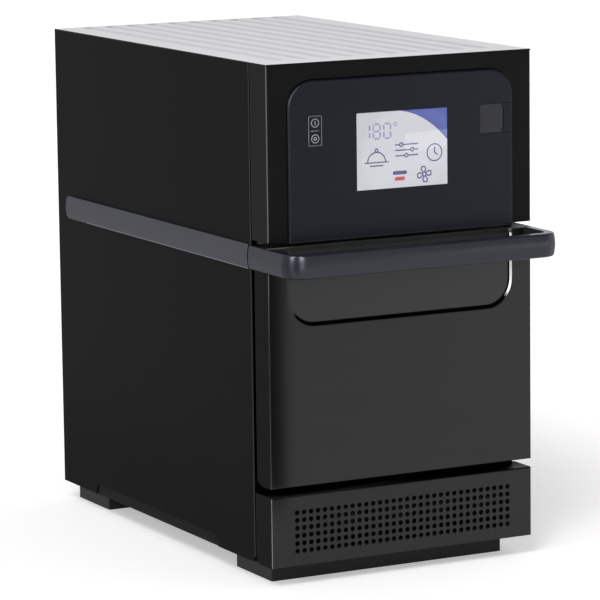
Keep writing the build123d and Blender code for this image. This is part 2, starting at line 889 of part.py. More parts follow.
# Door seal, a soft ring round the plug that meets the front frame
with BuildPart() as door_seal:
    with BuildSketch(Plane.XZ.offset(-door_back)):
        with Locations((0, plug_middle)):
            RectangleRounded(aperture_width + 2 * (seal_lead + seal_width),
                             aperture_height + 2 * (seal_lead + seal_width), plug_radius)
            RectangleRounded(aperture_width + 2 * seal_lead, aperture_height + 2 * seal_lead,
                             plug_radius - seal_width, mode=Mode.SUBTRACT)
    extrude(amount=-seal_thickness)
finish(door_seal, "door_seal")

# Hinge blocks in the door, each with two cheeks beside its ear
block_low = hinge_z - hinge_block_drop
block_high = hinge_z + hinge_block_rise
with BuildPart() as door_hinge_blocks:
    mirrored_block(across(hinge_x, hinge_slot + 2 * hinge_cheek), upwards(front + sheet, hinge_block_depth),
                   (block_low, block_high))
    cut_hinge_slots()
    for side in (-1, 1):
        rod((side * hinge_x - hinge_slot / 2 - hinge_cheek, hinge_y, hinge_z), (1, 0, 0),
            hinge_pin_radius + running_gap, hinge_slot + 2 * hinge_cheek, Mode.SUBTRACT)
finish(door_hinge_blocks, "door_hinge_blocks")

# Hinge pins, one through each block and ear
with BuildPart() as door_hinge_pins:
    pin_length = hinge_slot + 2 * (hinge_cheek - hinge_pin_end)
    for side in (-1, 1):
        rod((side * hinge_x - pin_length / 2, hinge_y, hinge_z), (1, 0, 0), hinge_pin_radius, pin_length)
finish(door_hinge_pins, "door_hinge_pins")

# Hinge brackets on the chassis, each an ear that reaches through the front frame
with BuildPart() as hinge_brackets:
    for side in (-1, 1):
        ear_left = side * hinge_x - hinge_ear / 2
        block(upwards(ear_left, hinge_ear), (hinge_y, frame_back), across(hinge_z, hinge_ear_height))
        rod((ear_left, hinge_y, hinge_z), (1, 0, 0), hinge_ear_height / 2, hinge_ear)
        block(across(side * hinge_x, hinge_flange_width), upwards(frame_back, 2 * sheet),
              across(hinge_z, hinge_flange_height))
        rod((ear_left, hinge_y, hinge_z), (1, 0, 0), hinge_pin_radius + running_gap, hinge_ear, Mode.SUBTRACT)
finish(hinge_brackets, "hinge_brackets")

# Interlock tongues on the door, which enter the front frame and press the switches
with BuildPart() as interlock_tongues:
    mirrored_block(across(tongue_x, tongue_base_width), upwards(door_back, sheet),
                   across(tongue_bottom + tongue_height / 2, tongue_base_height))
    mirrored_block(across(tongue_x, tongue_width), upwards(door_back, tongue_length),
                   upwards(tongue_bottom, tongue_height))
finish(interlock_tongues, "interlock_tongues")

# Interlock switches behind the front frame, beside the tongues
interlock_left = tongue_x - tongue_slot_width / 2 - interlock_width
with BuildPart() as interlock_switches:
    mirrored_block(upwards(interlock_left, interlock_width), upwards(frame_back, interlock_depth),
                   across(tongue_bottom + tongue_height / 2, interlock_height))
    for side in (-1, 1):
        rod((side * (interlock_left + interlock_width), frame_back + interlock_depth / 2,
             tongue_bottom + tongue_height / 2), (side, 0, 0), plunger_radius, plunger_length)
finish(interlock_switches, "interlock_switches")

# Door handle, a moulded loop whose arms run back along the sides of the door
handle_top = handle_bottom + handle_height
handle_middle = (handle_bottom + handle_top) / 2
loop_x = half_width + handle_proud - handle_thickness
loop_y = front - handle_reach + handle_thickness
tail_y = panel_front - handle_tail_gap
with BuildPart() as door_handle:
    with BuildLine(Plane.XY.offset(handle_middle)) as loop_line:
        FilletPolyline((-loop_x, tail_y), (-loop_x, loop_y), (loop_x, loop_y), (loop_x, tail_y),
                       radius=handle_inner_radius)
    section_plane = Plane(origin=(-loop_x, tail_y, handle_middle), x_dir=(-1, 0, 0), z_dir=(0, -1, 0))
    with BuildSketch(section_plane) as loop_section:
        with BuildLine():
            section_top = handle_height / 2
            Polyline((handle_thickness, -section_top), (0, -section_top), (0, section_top),
                     (handle_thickness, section_top))
            ThreePointArc((handle_thickness, section_top), (handle_thickness + handle_crown, 0),
                          (handle_thickness, -section_top))
        make_face()
        fillet(loop_section.vertices(), handle_edge_radius)
    sweep(path=loop_line.wires()[0])
    block((-half_width, half_width), (front, panel_front), (handle_bottom - overrun, handle_top + overrun),
          Mode.SUBTRACT)
finish(door_handle, "door_handle")


# Side view of the filter cover, with its lower rear corner rounded
def cover_outline(inset):
    with BuildSketch(Plane.YZ.offset(inset - half_width)) as side_view:
        with Locations(((front + door_back) / 2, (filter_bottom + filter_top) / 2)):
            Rectangle(door_depth - 2 * inset, filter_height - 2 * inset)
        rear_low = side_view.vertices().group_by(Axis.X)[-1].sort_by(Axis.Y)[0]
        fillet(rear_low, filter_rear_radius - inset)
    return side_view.sketch


# Filter cover, a perforated black pan that pulls off to the front
filter_columns = 1 + int((case_width - 2 * hole_field_margin) / hole_spacing)
hole_field_z = filter_bottom + filter_height / 2 - hole_field_drop
with BuildPart() as filter_cover:
    extrude(cover_outline(0), amount=case_width)
    fillet(filter_cover.faces().sort_by(Axis.Y)[0].edges(), filter_edge_radius)
    extrude(cover_outline(sheet), amount=case_width - 2 * sheet, mode=Mode.SUBTRACT)
    block((filter_flange - half_width, half_width - filter_flange), (front + sheet, door_back),
          (filter_bottom + sheet, filter_top - sheet), Mode.SUBTRACT)
    block((filter_flange - half_width, half_width - filter_flange),
          (door_back - filter_rear_radius, door_back),
          (filter_bottom - overrun, filter_bottom + sheet), Mode.SUBTRACT)
    with BuildSketch(Plane.XZ.offset(-(front + sheet))):
        with Locations((0, hole_field_z)):
            with GridLocations(hole_spacing, hole_spacing, filter_columns, filter_rows):
                Circle(hole_radius)
    extrude(amount=sheet, mode=Mode.SUBTRACT)
finish(filter_cover, "filter_cover")

# Air filter, a framed screen behind the perforation
mesh_width = (filter_columns - 1) * hole_spacing + 2 * mesh_margin
mesh_height = (filter_rows - 1) * hole_spacing + 2 * mesh_margin
with BuildPart() as air_filter:
    screen_back = front + sheet + mesh_depth
    block(across(0, mesh_width), (front + sheet, screen_back), across(hole_field_z, mesh_height))
    block(across(0, mesh_width - 2 * mesh_frame), (front + sheet, screen_back),
          across(hole_field_z, mesh_height - 2 * mesh_frame), Mode.SUBTRACT)
    for bar in range(mesh_bars):
        bar_x = (bar - (mesh_bars - 1) / 2) * (mesh_width - 2 * mesh_frame) / mesh_bars
        block(across(bar_x, mesh_bar), (screen_back - 2 * mesh_bar, screen_back - mesh_bar),
              across(hole_field_z, mesh_height - mesh_frame))
finish(air_filter, "air_filter")

# Magnets on the front frame that hold the filter cover
with BuildPart() as filter_magnets:
    for side in (-1, 1):
        rod((side * (half_width - magnet_inset), frame_face, filter_bottom + filter_height / 2), (0, -1, 0),
            magnet_radius, frame_setback - door_depth - magnet_clear)
finish(filter_magnets, "filter_magnets")

# Oven cavity, a welded steel liner with a round well for the stirrer in its floor
cavity_half = aperture_width / 2
cavity_floor = aperture_bottom
cavity_roof = impinger_z + jet_duct_height
baffle_front = frame_back + chamber_depth
baffle_back = baffle_front + cavity_wall
cavity_back = baffle_back + plenum_depth
cavity_shell = cavity_half + cavity_wall
shell_floor = cavity_floor - cavity_wall
shell_roof = cavity_roof + cavity_wall
shell_back = cavity_back + cavity_wall
ceramic_width = aperture_width - 2 * ceramic_side_margin
ceramic_depth = chamber_depth - 2 * ceramic_end_margin
well_radius = min(ceramic_width, ceramic_depth) / 2 - well_lap
well_y = frame_back + chamber_depth / 2
well_floor = cavity_floor - well_depth
well_under = well_floor - cavity_wall
plenum_z = (cavity_floor + cavity_roof) / 2
exhaust_y = (baffle_back + cavity_back) / 2
terminal_offset = element_ring_radius * sin(radians((360 - element_angle) / 2))
terminal_z = plenum_z - element_ring_radius * cos(radians((360 - element_angle) / 2))
sensor_z = plenum_z + sensor_z_drop
with BuildPart() as oven_cavity:
    block((-cavity_shell, cavity_shell), (frame_back, shell_back), (shell_floor, shell_roof))
    rod((0, well_y, well_under), (0, 0, 1), well_radius + cavity_wall, well_depth)
    block((-cavity_half, cavity_half), (frame_back, cavity_back), (cavity_floor, cavity_roof), Mode.SUBTRACT)
    rod((0, well_y, well_floor), (0, 0, 1), well_radius, well_depth, Mode.SUBTRACT)
    mirrored_block((cavity_half - ledge_width, cavity_half),
                   (frame_back + ledge_setback, baffle_front - ledge_end),
                   (impinger_z - sheet, impinger_z))
    rod((0, well_y, well_under), (0, 0, 1), stirrer_shaft_hole, cavity_wall, Mode.SUBTRACT)
    for side in (-1, 1):
        block(across(0, feed_slot_length), across(well_y + side * feed_slot_offset, feed_slot_width),
              (well_under, well_floor), Mode.SUBTRACT)
        rod((side * terminal_offset, cavity_back, terminal_z), (0, 1, 0), element_radius + touch_gap,
            cavity_wall, Mode.SUBTRACT)
    rod((0, cavity_back, plenum_z), (0, 1, 0), shaft_clearance_radius, cavity_wall, Mode.SUBTRACT)
    rod((sensor_x, cavity_back, sensor_z), (0, 1, 0), sensor_radius + touch_gap, cavity_wall, Mode.SUBTRACT)
    block(across(0, exhaust_size), across(exhaust_y, exhaust_size), (cavity_roof, shell_roof), Mode.SUBTRACT)
finish(oven_cavity, "oven_cavity")

# Impinger plate, whose jets blow hot air down on the food
plate_half = cavity_half - plate_side_gap
jet_columns = 1 + 2 * int((plate_half - jet_margin) / jet_spacing)
jet_rows = 1 + 2 * int((chamber_depth / 2 - jet_margin) / jet_spacing)
with BuildPart() as impinger_plate:
    block((-plate_half, plate_half), (frame_back + plate_side_gap, baffle_back + impinger_overhang),
          upwards(impinger_z, cavity_wall))
    with BuildSketch(Plane.XY.offset(impinger_z)):
        with Locations((0, well_y)):
            with GridLocations(jet_spacing, jet_spacing, jet_columns, jet_rows):
                Circle(jet_radius)
    extrude(amount=cavity_wall, mode=Mode.SUBTRACT)
finish(impinger_plate, "impinger_plate")

# Fan baffle, the perforated back wall of the cooking chamber
chamber_middle = cavity_floor + aperture_height / 2
with BuildPart() as fan_baffle:
    block((-plate_half, plate_half), upwards(baffle_front, cavity_wall), (cavity_floor, impinger_z))
    with BuildSketch(Plane.XZ.offset(-baffle_back)):
        with Locations((0, chamber_middle)):
            with GridLocations(return_hole_spacing, return_hole_spacing, return_hole_count, return_hole_count):
                Circle(return_hole_radius)
    extrude(amount=cavity_wall, mode=Mode.SUBTRACT)
finish(fan_baffle, "fan_baffle")

# Ceramic floor over the stirrer well
with BuildPart() as ceramic_floor:
    block(across(0, ceramic_width), across(well_y, ceramic_depth), upwards(cavity_floor, ceramic_thickness))
    fillet(ceramic_floor.edges().filter_by(Axis.Z), ceramic_radius)
finish(ceramic_floor, "ceramic_floor")

# Cook plate, a shallow black tray on four feet that lifts off the cavity floor
plate_bottom = cavity_floor + touch_gap + cook_foot_height
cook_plate_width = aperture_width - 2 * cook_plate_side_gap
cook_plate_depth = chamber_depth - 2 * cook_plate_end_gap
foot_columns = cook_plate_width - 2 * cook_foot_inset
foot_rows = cook_plate_depth - 2 * cook_foot_inset
with BuildPart() as cook_plate:
    block(across(0, cook_plate_width), across(well_y, cook_plate_depth), upwards(plate_bottom, cook_plate_rim))
    fillet(cook_plate.edges().filter_by(Axis.Z), cook_plate_radius)
    with BuildSketch(Plane.XY.offset(plate_bottom + cook_plate_floor)):
        with Locations((0, well_y)):
            RectangleRounded(cook_plate_width - 2 * cook_plate_wall, cook_plate_depth - 2 * cook_plate_wall,
                             cook_plate_radius - cook_plate_wall)
    extrude(amount=cook_plate_rim - cook_plate_floor, mode=Mode.SUBTRACT)
    with BuildSketch(Plane.XY.offset(cavity_floor + touch_gap)):
        with Locations((0, well_y)):
            with GridLocations(foot_columns, foot_rows, 2, 2):
                Circle(cook_foot_radius)
    extrude(amount=cook_foot_height)
finish(cook_plate, "cook_plate")

# Convection impeller, a back disc with straight radial blades
disc_back = cavity_back - impeller_rear_gap
disc_front = disc_back - impeller_disc
blade_front = disc_front - blade_depth
with BuildPart() as convection_impeller:
    rod((0, disc_front, plenum_z), (0, 1, 0), impeller_radius, impeller_disc)
    rod((0, blade_front + blade_depth / 2, plenum_z), (0, 1, 0), hub_radius, blade_depth / 2)
    with BuildSketch(Plane(origin=(0, disc_front, plenum_z), x_dir=(1, 0, 0), z_dir=(0, -1, 0))):
        with PolarLocations(0, blade_count):
            with Locations(((blade_inner_radius + impeller_radius) / 2, 0)):
                Rectangle(impeller_radius - blade_inner_radius, blade_thickness)
    extrude(amount=blade_depth)
    rod((0, blade_front, plenum_z), (0, 1, 0), motor_shaft_radius + running_gap / 2,
        disc_back - blade_front, Mode.SUBTRACT)
finish(convection_impeller, "convection_impeller")

# Shaft of the convection motor, which carries the impeller
wool_back = shell_back + wool_rear
motor_face = wool_back + motor_plate
shaft_front = blade_front + blade_depth / 2 - 2 * motor_shaft_radius
shaft_end = motor_face + motor_bore_depth - sheet
with BuildPart() as convection_shaft:
    rod((0, shaft_front, plenum_z), (0, 1, 0), motor_shaft_radius, shaft_end - shaft_front)
finish(convection_shaft, "convection_shaft")

# Convection motor behind the insulated back wall, on four spacers
spacer_spread = motor_plate_size - 2 * motor_spacer_inset
with BuildPart() as convection_motor:
    block(across(0, motor_plate_size), (wool_back, motor_face), across(plenum_z, motor_plate_size))
    rod((0, motor_face, plenum_z), (0, 1, 0), motor_radius, motor_length)
    fillet(convection_motor.edges().filter_by(GeomType.CIRCLE).sort_by(Axis.Y)[-1], motor_spacer_radius)
    with BuildSketch(Plane.XZ.offset(-wool_back)):
        with Locations((0, plenum_z)):
            with GridLocations(spacer_spread, spacer_spread, 2, 2):
                Circle(motor_spacer_radius)
    extrude(amount=wool_rear)
    rod((0, wool_back, plenum_z), (0, 1, 0), motor_shaft_radius + running_gap,
        motor_plate + motor_bore_depth, Mode.SUBTRACT)
finish(convection_motor, "convection_motor")

# Heating element, an open ring of tube round the impeller with two tails through the wall
element_y = blade_front + blade_depth / 3
with BuildPart() as heating_element:
    ring_start = Vector(terminal_offset, element_y, terminal_z)
    with BuildSketch(Plane(origin=ring_start,
                           x_dir=(terminal_offset, 0, terminal_z - plenum_z),
                           z_dir=Vector(plenum_z - terminal_z, 0, terminal_offset))):
        Circle(element_radius)
    revolve(axis=Axis((0, element_y, plenum_z), (0, -1, 0)), revolution_arc=element_angle)
    for side in (-1, 1):
        with Locations((side * terminal_offset, element_y, terminal_z)):
            Sphere(element_radius)
        rod((side * terminal_offset, element_y, terminal_z), (0, 1, 0), element_radius,
            shell_back + element_tail - element_y)
        rod((side * terminal_offset, cavity_back - element_collar, terminal_z), (0, 1, 0),
            element_collar_radius, element_collar)
finish(heating_element, "heating_element")

# Temperature sensor, a thin probe in the hot air path
with BuildPart() as temperature_sensor:
    rod((sensor_x, cavity_back - sensor_reach, sensor_z), (0, 1, 0), sensor_radius,
        sensor_reach + cavity_wall + element_tail)
    rod((sensor_x, cavity_back - element_collar, sensor_z), (0, 1, 0), 2 * sensor_radius + sheet,
        element_collar)
finish(temperature_sensor, "temperature_sensor")

# Cavity insulation, a wool jacket over sides, top and back
wool_start = front + wool_setback
wool_outer = inner_half - wool_side_gap
wool_crown = shell_roof + wool_top
with BuildPart() as cavity_insulation:
    block((-wool_outer, wool_outer), (wool_start, wool_back), (shell_floor, wool_crown))
    block((-cavity_shell, cavity_shell), (wool_start, shell_back), (shell_floor, shell_roof), Mode.SUBTRACT)
    rod((0, shell_back, plenum_z), (0, 1, 0), shaft_clearance_radius, wool_rear, Mode.SUBTRACT)
    with BuildSketch(Plane.XZ.offset(-wool_back)):
        with Locations((0, plenum_z)):
            with GridLocations(spacer_spread, spacer_spread, 2, 2):
                Circle(motor_spacer_radius + wool_hole_gap / 2)
    extrude(amount=wool_rear, mode=Mode.SUBTRACT)
    for side in (-1, 1):
        rod((side * terminal_offset, shell_back, terminal_z), (0, 1, 0), element_radius + wool_hole_gap / 2,
            wool_rear, Mode.SUBTRACT)
    rod((sensor_x, shell_back, sensor_z), (0, 1, 0), sensor_radius + wool_hole_gap / 2, wool_rear,
        Mode.SUBTRACT)
    block(across(0, duct_size + wool_hole_gap), across(exhaust_y, duct_size + wool_hole_gap),
          (shell_roof, wool_crown), Mode.SUBTRACT)
finish(cavity_insulation, "cavity_insulation")

# Supports, four folded posts between base pan and cavity
post_x = cavity_shell - post_inset
with BuildPart() as cavity_supports:
    for post_start in (front + post_front_setback, front + post_rear_setback):
        mirrored_block(across(post_x, post_width), upwards(post_start, post_depth), (base_floor, shell_floor))
        mirrored_block(across(post_x, post_width - 2 * sheet), upwards(post_start, post_depth - sheet),
                       (base_floor + sheet, shell_floor - sheet), Mode.SUBTRACT)
finish(cavity_supports, "cavity_supports")

# Waveguide under the cavity, from the magnetron to the stirrer well
guide_top = well_under
guide_floor = guide_top - waveguide_height
guide_start = well_y - waveguide_lead
guide_end = guide_start + waveguide_length
antenna_y = guide_end - magnetron_back
with BuildPart() as waveguide:
    block(across(0, waveguide_width), (guide_start, guide_end), (guide_floor, guide_top))
    block(across(0, waveguide_width - 2 * waveguide_wall),
          (guide_start + waveguide_wall, guide_end - waveguide_wall),
          (guide_floor + waveguide_wall, guide_top - waveguide_wall), Mode.SUBTRACT)
    for side in (-1, 1):
        block(across(0, feed_slot_length), across(well_y + side * feed_slot_offset, feed_slot_width),
              (guide_top - waveguide_wall, guide_top), Mode.SUBTRACT)
    rod((0, well_y, guide_floor), (0, 0, 1), stirrer_shaft_hole, waveguide_height, Mode.SUBTRACT)
    rod((0, antenna_y, guide_floor), (0, 0, 1), antenna_radius + antenna_hole_gap, waveguide_wall,
        Mode.SUBTRACT)
finish(waveguide, "waveguide")

# Magnetron below the end of the waveguide, with its fins and its cathode box
fin_spacing = (magnetron_height - magnetron_flange) / magnetron_fins
with BuildPart() as magnetron:
    block(across(0, magnetron_width), across(antenna_y, magnetron_depth),
          (guide_floor - magnetron_flange, guide_floor))
    rod((0, antenna_y, guide_floor), (0, 0, 1), antenna_radius, antenna_height)
    rod((0, antenna_y, guide_floor - magnetron_height), (0, 0, 1), magnetron_depth / 4, magnetron_height)
    for fin in range(magnetron_fins):
        block(across(0, magnetron_width * fin_width_share),
              across(antenna_y, magnetron_depth * fin_depth_share),
              upwards(guide_floor - magnetron_flange - (fin + 1) * fin_spacing, sheet))
    mirrored_block((magnetron_width / 2 - sheet, magnetron_width / 2), across(antenna_y, magnetron_depth),
                   (guide_floor - magnetron_height, guide_floor))
    block(across(0, magnetron_width), across(antenna_y, magnetron_depth),
          upwards(guide_floor - magnetron_height - sheet, sheet))
    block(across(0, cathode_box_width), across(antenna_y, cathode_box_width),
          (guide_floor - magnetron_height - cathode_box_height, guide_floor - magnetron_height))
finish(magnetron, "magnetron")

# Stirrer, a flat metal fan in the well that spreads the microwaves
stirrer_bottom = well_floor + stirrer_rise
stirrer_radius = well_radius - stirrer_gap
with BuildPart() as stirrer:
    rod((0, well_y, stirrer_bottom), (0, 0, 1), stirrer_hub_radius, stirrer_hub_height)
    with BuildSketch(Plane.XY.offset(stirrer_bottom)):
        with Locations((0, well_y)):
            with PolarLocations(0, stirrer_blades):
                with Locations((stirrer_radius / 2, 0)):
                    SlotOverall(stirrer_radius, stirrer_blade_width)
    extrude(amount=stirrer_blade)
    shaft_low = guide_floor - stirrer_bore_depth + sheet
    rod((0, well_y, shaft_low), (0, 0, 1), stirrer_shaft_radius, stirrer_bottom - shaft_low)
finish(stirrer, "stirrer")

# Stirrer motor under the waveguide
with BuildPart() as stirrer_motor:
    rod((0, well_y, guide_floor - stirrer_motor_height), (0, 0, 1), stirrer_motor_radius, stirrer_motor_height)
    block(across(0, 2 * stirrer_motor_radius + 4 * stirrer_shaft_hole), across(well_y, 2 * stirrer_shaft_hole),
          (guide_floor - sheet, guide_floor))
    rod((0, well_y, guide_floor - stirrer_bore_depth), (0, 0, 1), stirrer_shaft_radius + running_gap,
        stirrer_bore_depth, Mode.SUBTRACT)
finish(stirrer_motor, "stirrer_motor")

# High voltage transformer on the base pan
side_bay_middle = (waveguide_width / 2 + inner_half) / 2
transformer_x = -side_bay_middle
with BuildPart() as hv_transformer:
    core_y = front + transformer_start + transformer_depth / 2
    core_z = base_floor + transformer_foot + transformer_height / 2
    block(across(transformer_x, transformer_width), across(core_y, transformer_depth - 2 * winding_overhang),
          upwards(base_floor + transformer_foot, transformer_height))
    block(across(transformer_x, transformer_width), across(core_y, transformer_depth),
          upwards(base_floor, transformer_foot))
    block(across(transformer_x, transformer_width * winding_height_share), across(core_y, transformer_depth),
          across(core_z, transformer_height * winding_height_share))
finish(hv_transformer, "hv_transformer")

# High voltage capacitor, an oval can that lies on the base pan
capacitor_x = side_bay_middle
with BuildPart() as hv_capacitor:
    can_y = front + capacitor_start + capacitor_length / 2
    with BuildSketch(Plane.XY.offset(base_floor)):
        with Locations((capacitor_x, can_y)):
            SlotOverall(capacitor_length, capacitor_width, rotation=90)
    extrude(amount=capacitor_height)
    fillet(hv_capacitor.faces().sort_by(Axis.Z)[-1].edges(), capacitor_terminal_radius)
    with BuildSketch(Plane.XY.offset(base_floor + capacitor_height)):
        with Locations((capacitor_x, can_y)):
            with GridLocations(0, capacitor_length / 3, 1, 2):
                Circle(capacitor_terminal_radius)
    extrude(amount=capacitor_terminal_height)
finish(hv_capacitor, "hv_capacitor")

# Mains filter beside the cable entry
mains_filter_x = side_bay_middle
with BuildPart() as mains_filter:
    filter_y = front + mains_filter_start + mains_filter_depth / 2
    block(across(mains_filter_x, mains_filter_width), across(filter_y, mains_filter_depth),
          upwards(base_floor, mains_filter_height))
    fillet(mains_filter.edges().filter_by(Axis.Z), 2 * sheet)
    with BuildSketch(Plane.XY.offset(base_floor + mains_filter_height)):
        with Locations((mains_filter_x, filter_y)):
            with GridLocations(mains_filter_width / 4, mains_filter_depth / 2, 3, 2):
                Rectangle(4 * sheet, sheet)
    extrude(amount=4 * sheet)
finish(mains_filter, "mains_filter")

# Cooling fan frame behind the intake, with a spider that carries the rotor
fan_y = frame_back
fan_back = fan_y + fan_depth
fan_z = base_floor + fan_size / 2
with BuildPart() as cooling_fan_frame:
    block(across(0, fan_size), (fan_y, fan_back), across(fan_z, fan_size))
    fillet(cooling_fan_frame.edges().filter_by(Axis.Y), fan_spider)
    rod((0, fan_y, fan_z), (0, 1, 0), fan_bore_radius, fan_depth, Mode.SUBTRACT)
    rod((0, fan_back - fan_spider, fan_z), (0, 1, 0), fan_hub_radius, fan_spider)
    with BuildSketch(Plane(origin=(0, fan_back, fan_z), x_dir=(1, 0, 0), z_dir=(0, -1, 0))):
        with PolarLocations(0, fan_spider_arms):
            with Locations(((fan_hub_radius + fan_bore_radius) / 2, 0)):
                Rectangle(fan_bore_radius - fan_hub_radius + fan_spider_arm, fan_spider_arm)
    extrude(amount=fan_spider)
    rod((0, fan_back - fan_spider, fan_z), (0, 1, 0), fan_shaft_radius + running_gap, fan_spider,
        Mode.SUBTRACT)
finish(cooling_fan_frame, "cooling_fan_frame")

# Cooling fan rotor, a hub with twisted blades
hub_front = fan_y + fan_spider
hub_length = fan_depth - 2 * fan_spider - fan_hub_gap
blade_reach = fan_bore_radius - fan_tip_gap
with BuildPart() as cooling_fan_rotor:
    rod((0, hub_front, fan_z), (0, 1, 0), fan_hub_radius, hub_length)
    for blade in range(fan_blades):
        blade_angle = 360 * blade / fan_blades
        outward = (cos(radians(blade_angle)), 0, sin(radians(blade_angle)))
        blade_plane = Plane(origin=(0, hub_front + hub_length / 2, fan_z), x_dir=(0, 1, 0), z_dir=outward)
        with BuildSketch(blade_plane.offset(fan_hub_radius / 2)):
            Rectangle(hub_length * fan_blade_share, fan_blade_thickness, rotation=fan_blade_twist)
        extrude(amount=blade_reach - fan_hub_radius / 2)
    rod((0, hub_front, fan_z), (0, 1, 0), fan_shaft_radius, hub_length + fan_hub_gap + fan_spider)
    outer_ring = blade_reach + fan_tip_gap / 2
    with BuildSketch(Plane.XZ.offset(-fan_y)):
        with Locations((0, fan_z)):
            Circle(outer_ring)
    extrude(amount=-fan_depth, mode=Mode.INTERSECT)
finish(cooling_fan_rotor, "cooling_fan_rotor")

# Component tray on the insulation, which ends before the exhaust duct, with a lip along each side
duct_half = duct_size / 2
duct_start = exhaust_y - duct_half
tray_start = front + tray_setback
tray_end = duct_start - tray_duct_gap
with BuildPart() as component_tray:
    block((-inner_half, inner_half), (tray_start, tray_end), upwards(wool_crown, sheet))
    mirrored_block((inner_half - sheet, inner_half), (tray_start, tray_end),
                   upwards(wool_crown, tray_lip))
finish(component_tray, "component_tray")

# Relay board on the tray
relay_board_x = relay_board_side_gap + relay_board_width / 2 - inner_half
with BuildPart() as relay_board:
    relay_y = front + relay_board_setback + relay_board_depth / 2
    relay_floor = wool_crown + sheet
    board_level = relay_floor + board_standoff
    relay_top = board_level + board_thickness
    block(across(relay_board_x, relay_board_width), across(relay_y, relay_board_depth),
          upwards(board_level, board_thickness))
    with BuildSketch(Plane.XY.offset(relay_floor)):
        with Locations((relay_board_x, relay_y)):
            with GridLocations(relay_board_width - 2 * board_standoff_inset,
                               relay_board_depth - 2 * board_standoff_inset, 2, 2):
                Circle(board_standoff_radius)
    extrude(amount=board_standoff)
    with BuildSketch(Plane.XY.offset(relay_top)):
        with Locations((relay_board_x, relay_y - relay_size)):
            with GridLocations(relay_spacing, 0, relay_count, 1):
                Rectangle(relay_size, relay_size)
        with Locations((relay_board_x, relay_y + relay_size)):
            with GridLocations(relay_spacing, 0, relay_count, 1):
                Circle(relay_size / 3)
    extrude(amount=relay_height)
finish(relay_board, "relay_board")

# Exhaust duct from the roof of the cavity to the outlet grille
with BuildPart() as exhaust_duct:
    block((-duct_half, duct_half), upwards(duct_start, duct_size), (shell_roof, duct_top))
    block((-duct_half, duct_half), (duct_start, rear_inner), (duct_top - duct_size, duct_top))
    block((sheet - duct_half, duct_half - sheet), (duct_start + sheet, duct_start + duct_size - sheet),
          (shell_roof, duct_top - sheet), Mode.SUBTRACT)
    block((sheet - duct_half, duct_half - sheet), (duct_start + sheet, rear_inner),
          (duct_top - duct_size + sheet, duct_top - sheet), Mode.SUBTRACT)
finish(exhaust_duct, "exhaust_duct")

# Catalyst, a block with many cells that cleans the exhaust air
catalyst_size = duct_size - 2 * sheet
with BuildPart() as catalyst:
    block(across(0, catalyst_size), across(exhaust_y, catalyst_size),
          upwards(shell_roof + catalyst_lift, catalyst_height))
    with BuildSketch(Plane.XY.offset(shell_roof + catalyst_lift)):
        with Locations((0, exhaust_y)):
            with GridLocations(catalyst_cell_spacing, catalyst_cell_spacing, catalyst_cells, catalyst_cells):
                Rectangle(catalyst_cell, catalyst_cell)
    extrude(amount=catalyst_height, mode=Mode.SUBTRACT)
finish(catalyst, "catalyst")

# Cable gland in the rear panel, with an open bore and no cable
with BuildPart() as mains_gland:
    rod((gland_x, rear_inner - gland_inner_length, gland_z), (0, 1, 0), gland_thread_radius,
        gland_inner_length + sheet)
    with BuildSketch(Plane(origin=(gland_x, rear_face, gland_z), x_dir=(1, 0, 0), z_dir=(0, 1, 0))):
        RegularPolygon(gland_hex, 6)
    extrude(amount=gland_nut)
    with BuildSketch(Plane(origin=(gland_x, rear_inner, gland_z), x_dir=(1, 0, 0), z_dir=(0, -1, 0))):
        RegularPolygon(gland_hex, 6)
    extrude(amount=gland_nut)
    rod((gland_x, rear_face + gland_nut, gland_z), (0, 1, 0), gland_thread_radius, gland_cap)
    fillet(mains_gland.edges().filter_by(GeomType.CIRCLE).sort_by(Axis.Y)[-1], gland_nut / 2)
    rod((gland_x, rear_inner - gland_inner_length, gland_z), (0, 1, 0), gland_bore_radius,
        gland_inner_length + sheet + gland_nut + gland_cap, Mode.SUBTRACT)
finish(mains_gland, "mains_gland")
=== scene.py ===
from math import atan2, cos, pi, radians, sin, sqrt

import bmesh
import bpy
from mathutils import Matrix, Vector


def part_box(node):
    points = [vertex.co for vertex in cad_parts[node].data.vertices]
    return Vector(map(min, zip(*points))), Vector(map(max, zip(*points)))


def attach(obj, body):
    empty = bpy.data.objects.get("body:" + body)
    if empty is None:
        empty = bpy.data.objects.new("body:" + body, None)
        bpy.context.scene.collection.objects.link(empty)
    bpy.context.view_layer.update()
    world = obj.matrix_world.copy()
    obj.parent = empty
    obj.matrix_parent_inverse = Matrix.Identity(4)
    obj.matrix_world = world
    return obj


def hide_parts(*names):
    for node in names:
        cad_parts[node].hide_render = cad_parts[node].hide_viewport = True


# A countertop speed oven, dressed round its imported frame. Metres, with the frame's axes:
# X to the cook's right, Y from the door to the back, Z up, the origin on the worktop.
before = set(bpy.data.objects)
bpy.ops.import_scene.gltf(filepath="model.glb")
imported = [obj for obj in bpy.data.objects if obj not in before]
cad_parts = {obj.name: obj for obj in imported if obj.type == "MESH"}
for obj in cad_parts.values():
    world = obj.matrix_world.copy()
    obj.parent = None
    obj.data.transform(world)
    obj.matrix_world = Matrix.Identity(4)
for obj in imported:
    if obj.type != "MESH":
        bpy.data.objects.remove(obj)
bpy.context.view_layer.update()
mm = 0.001

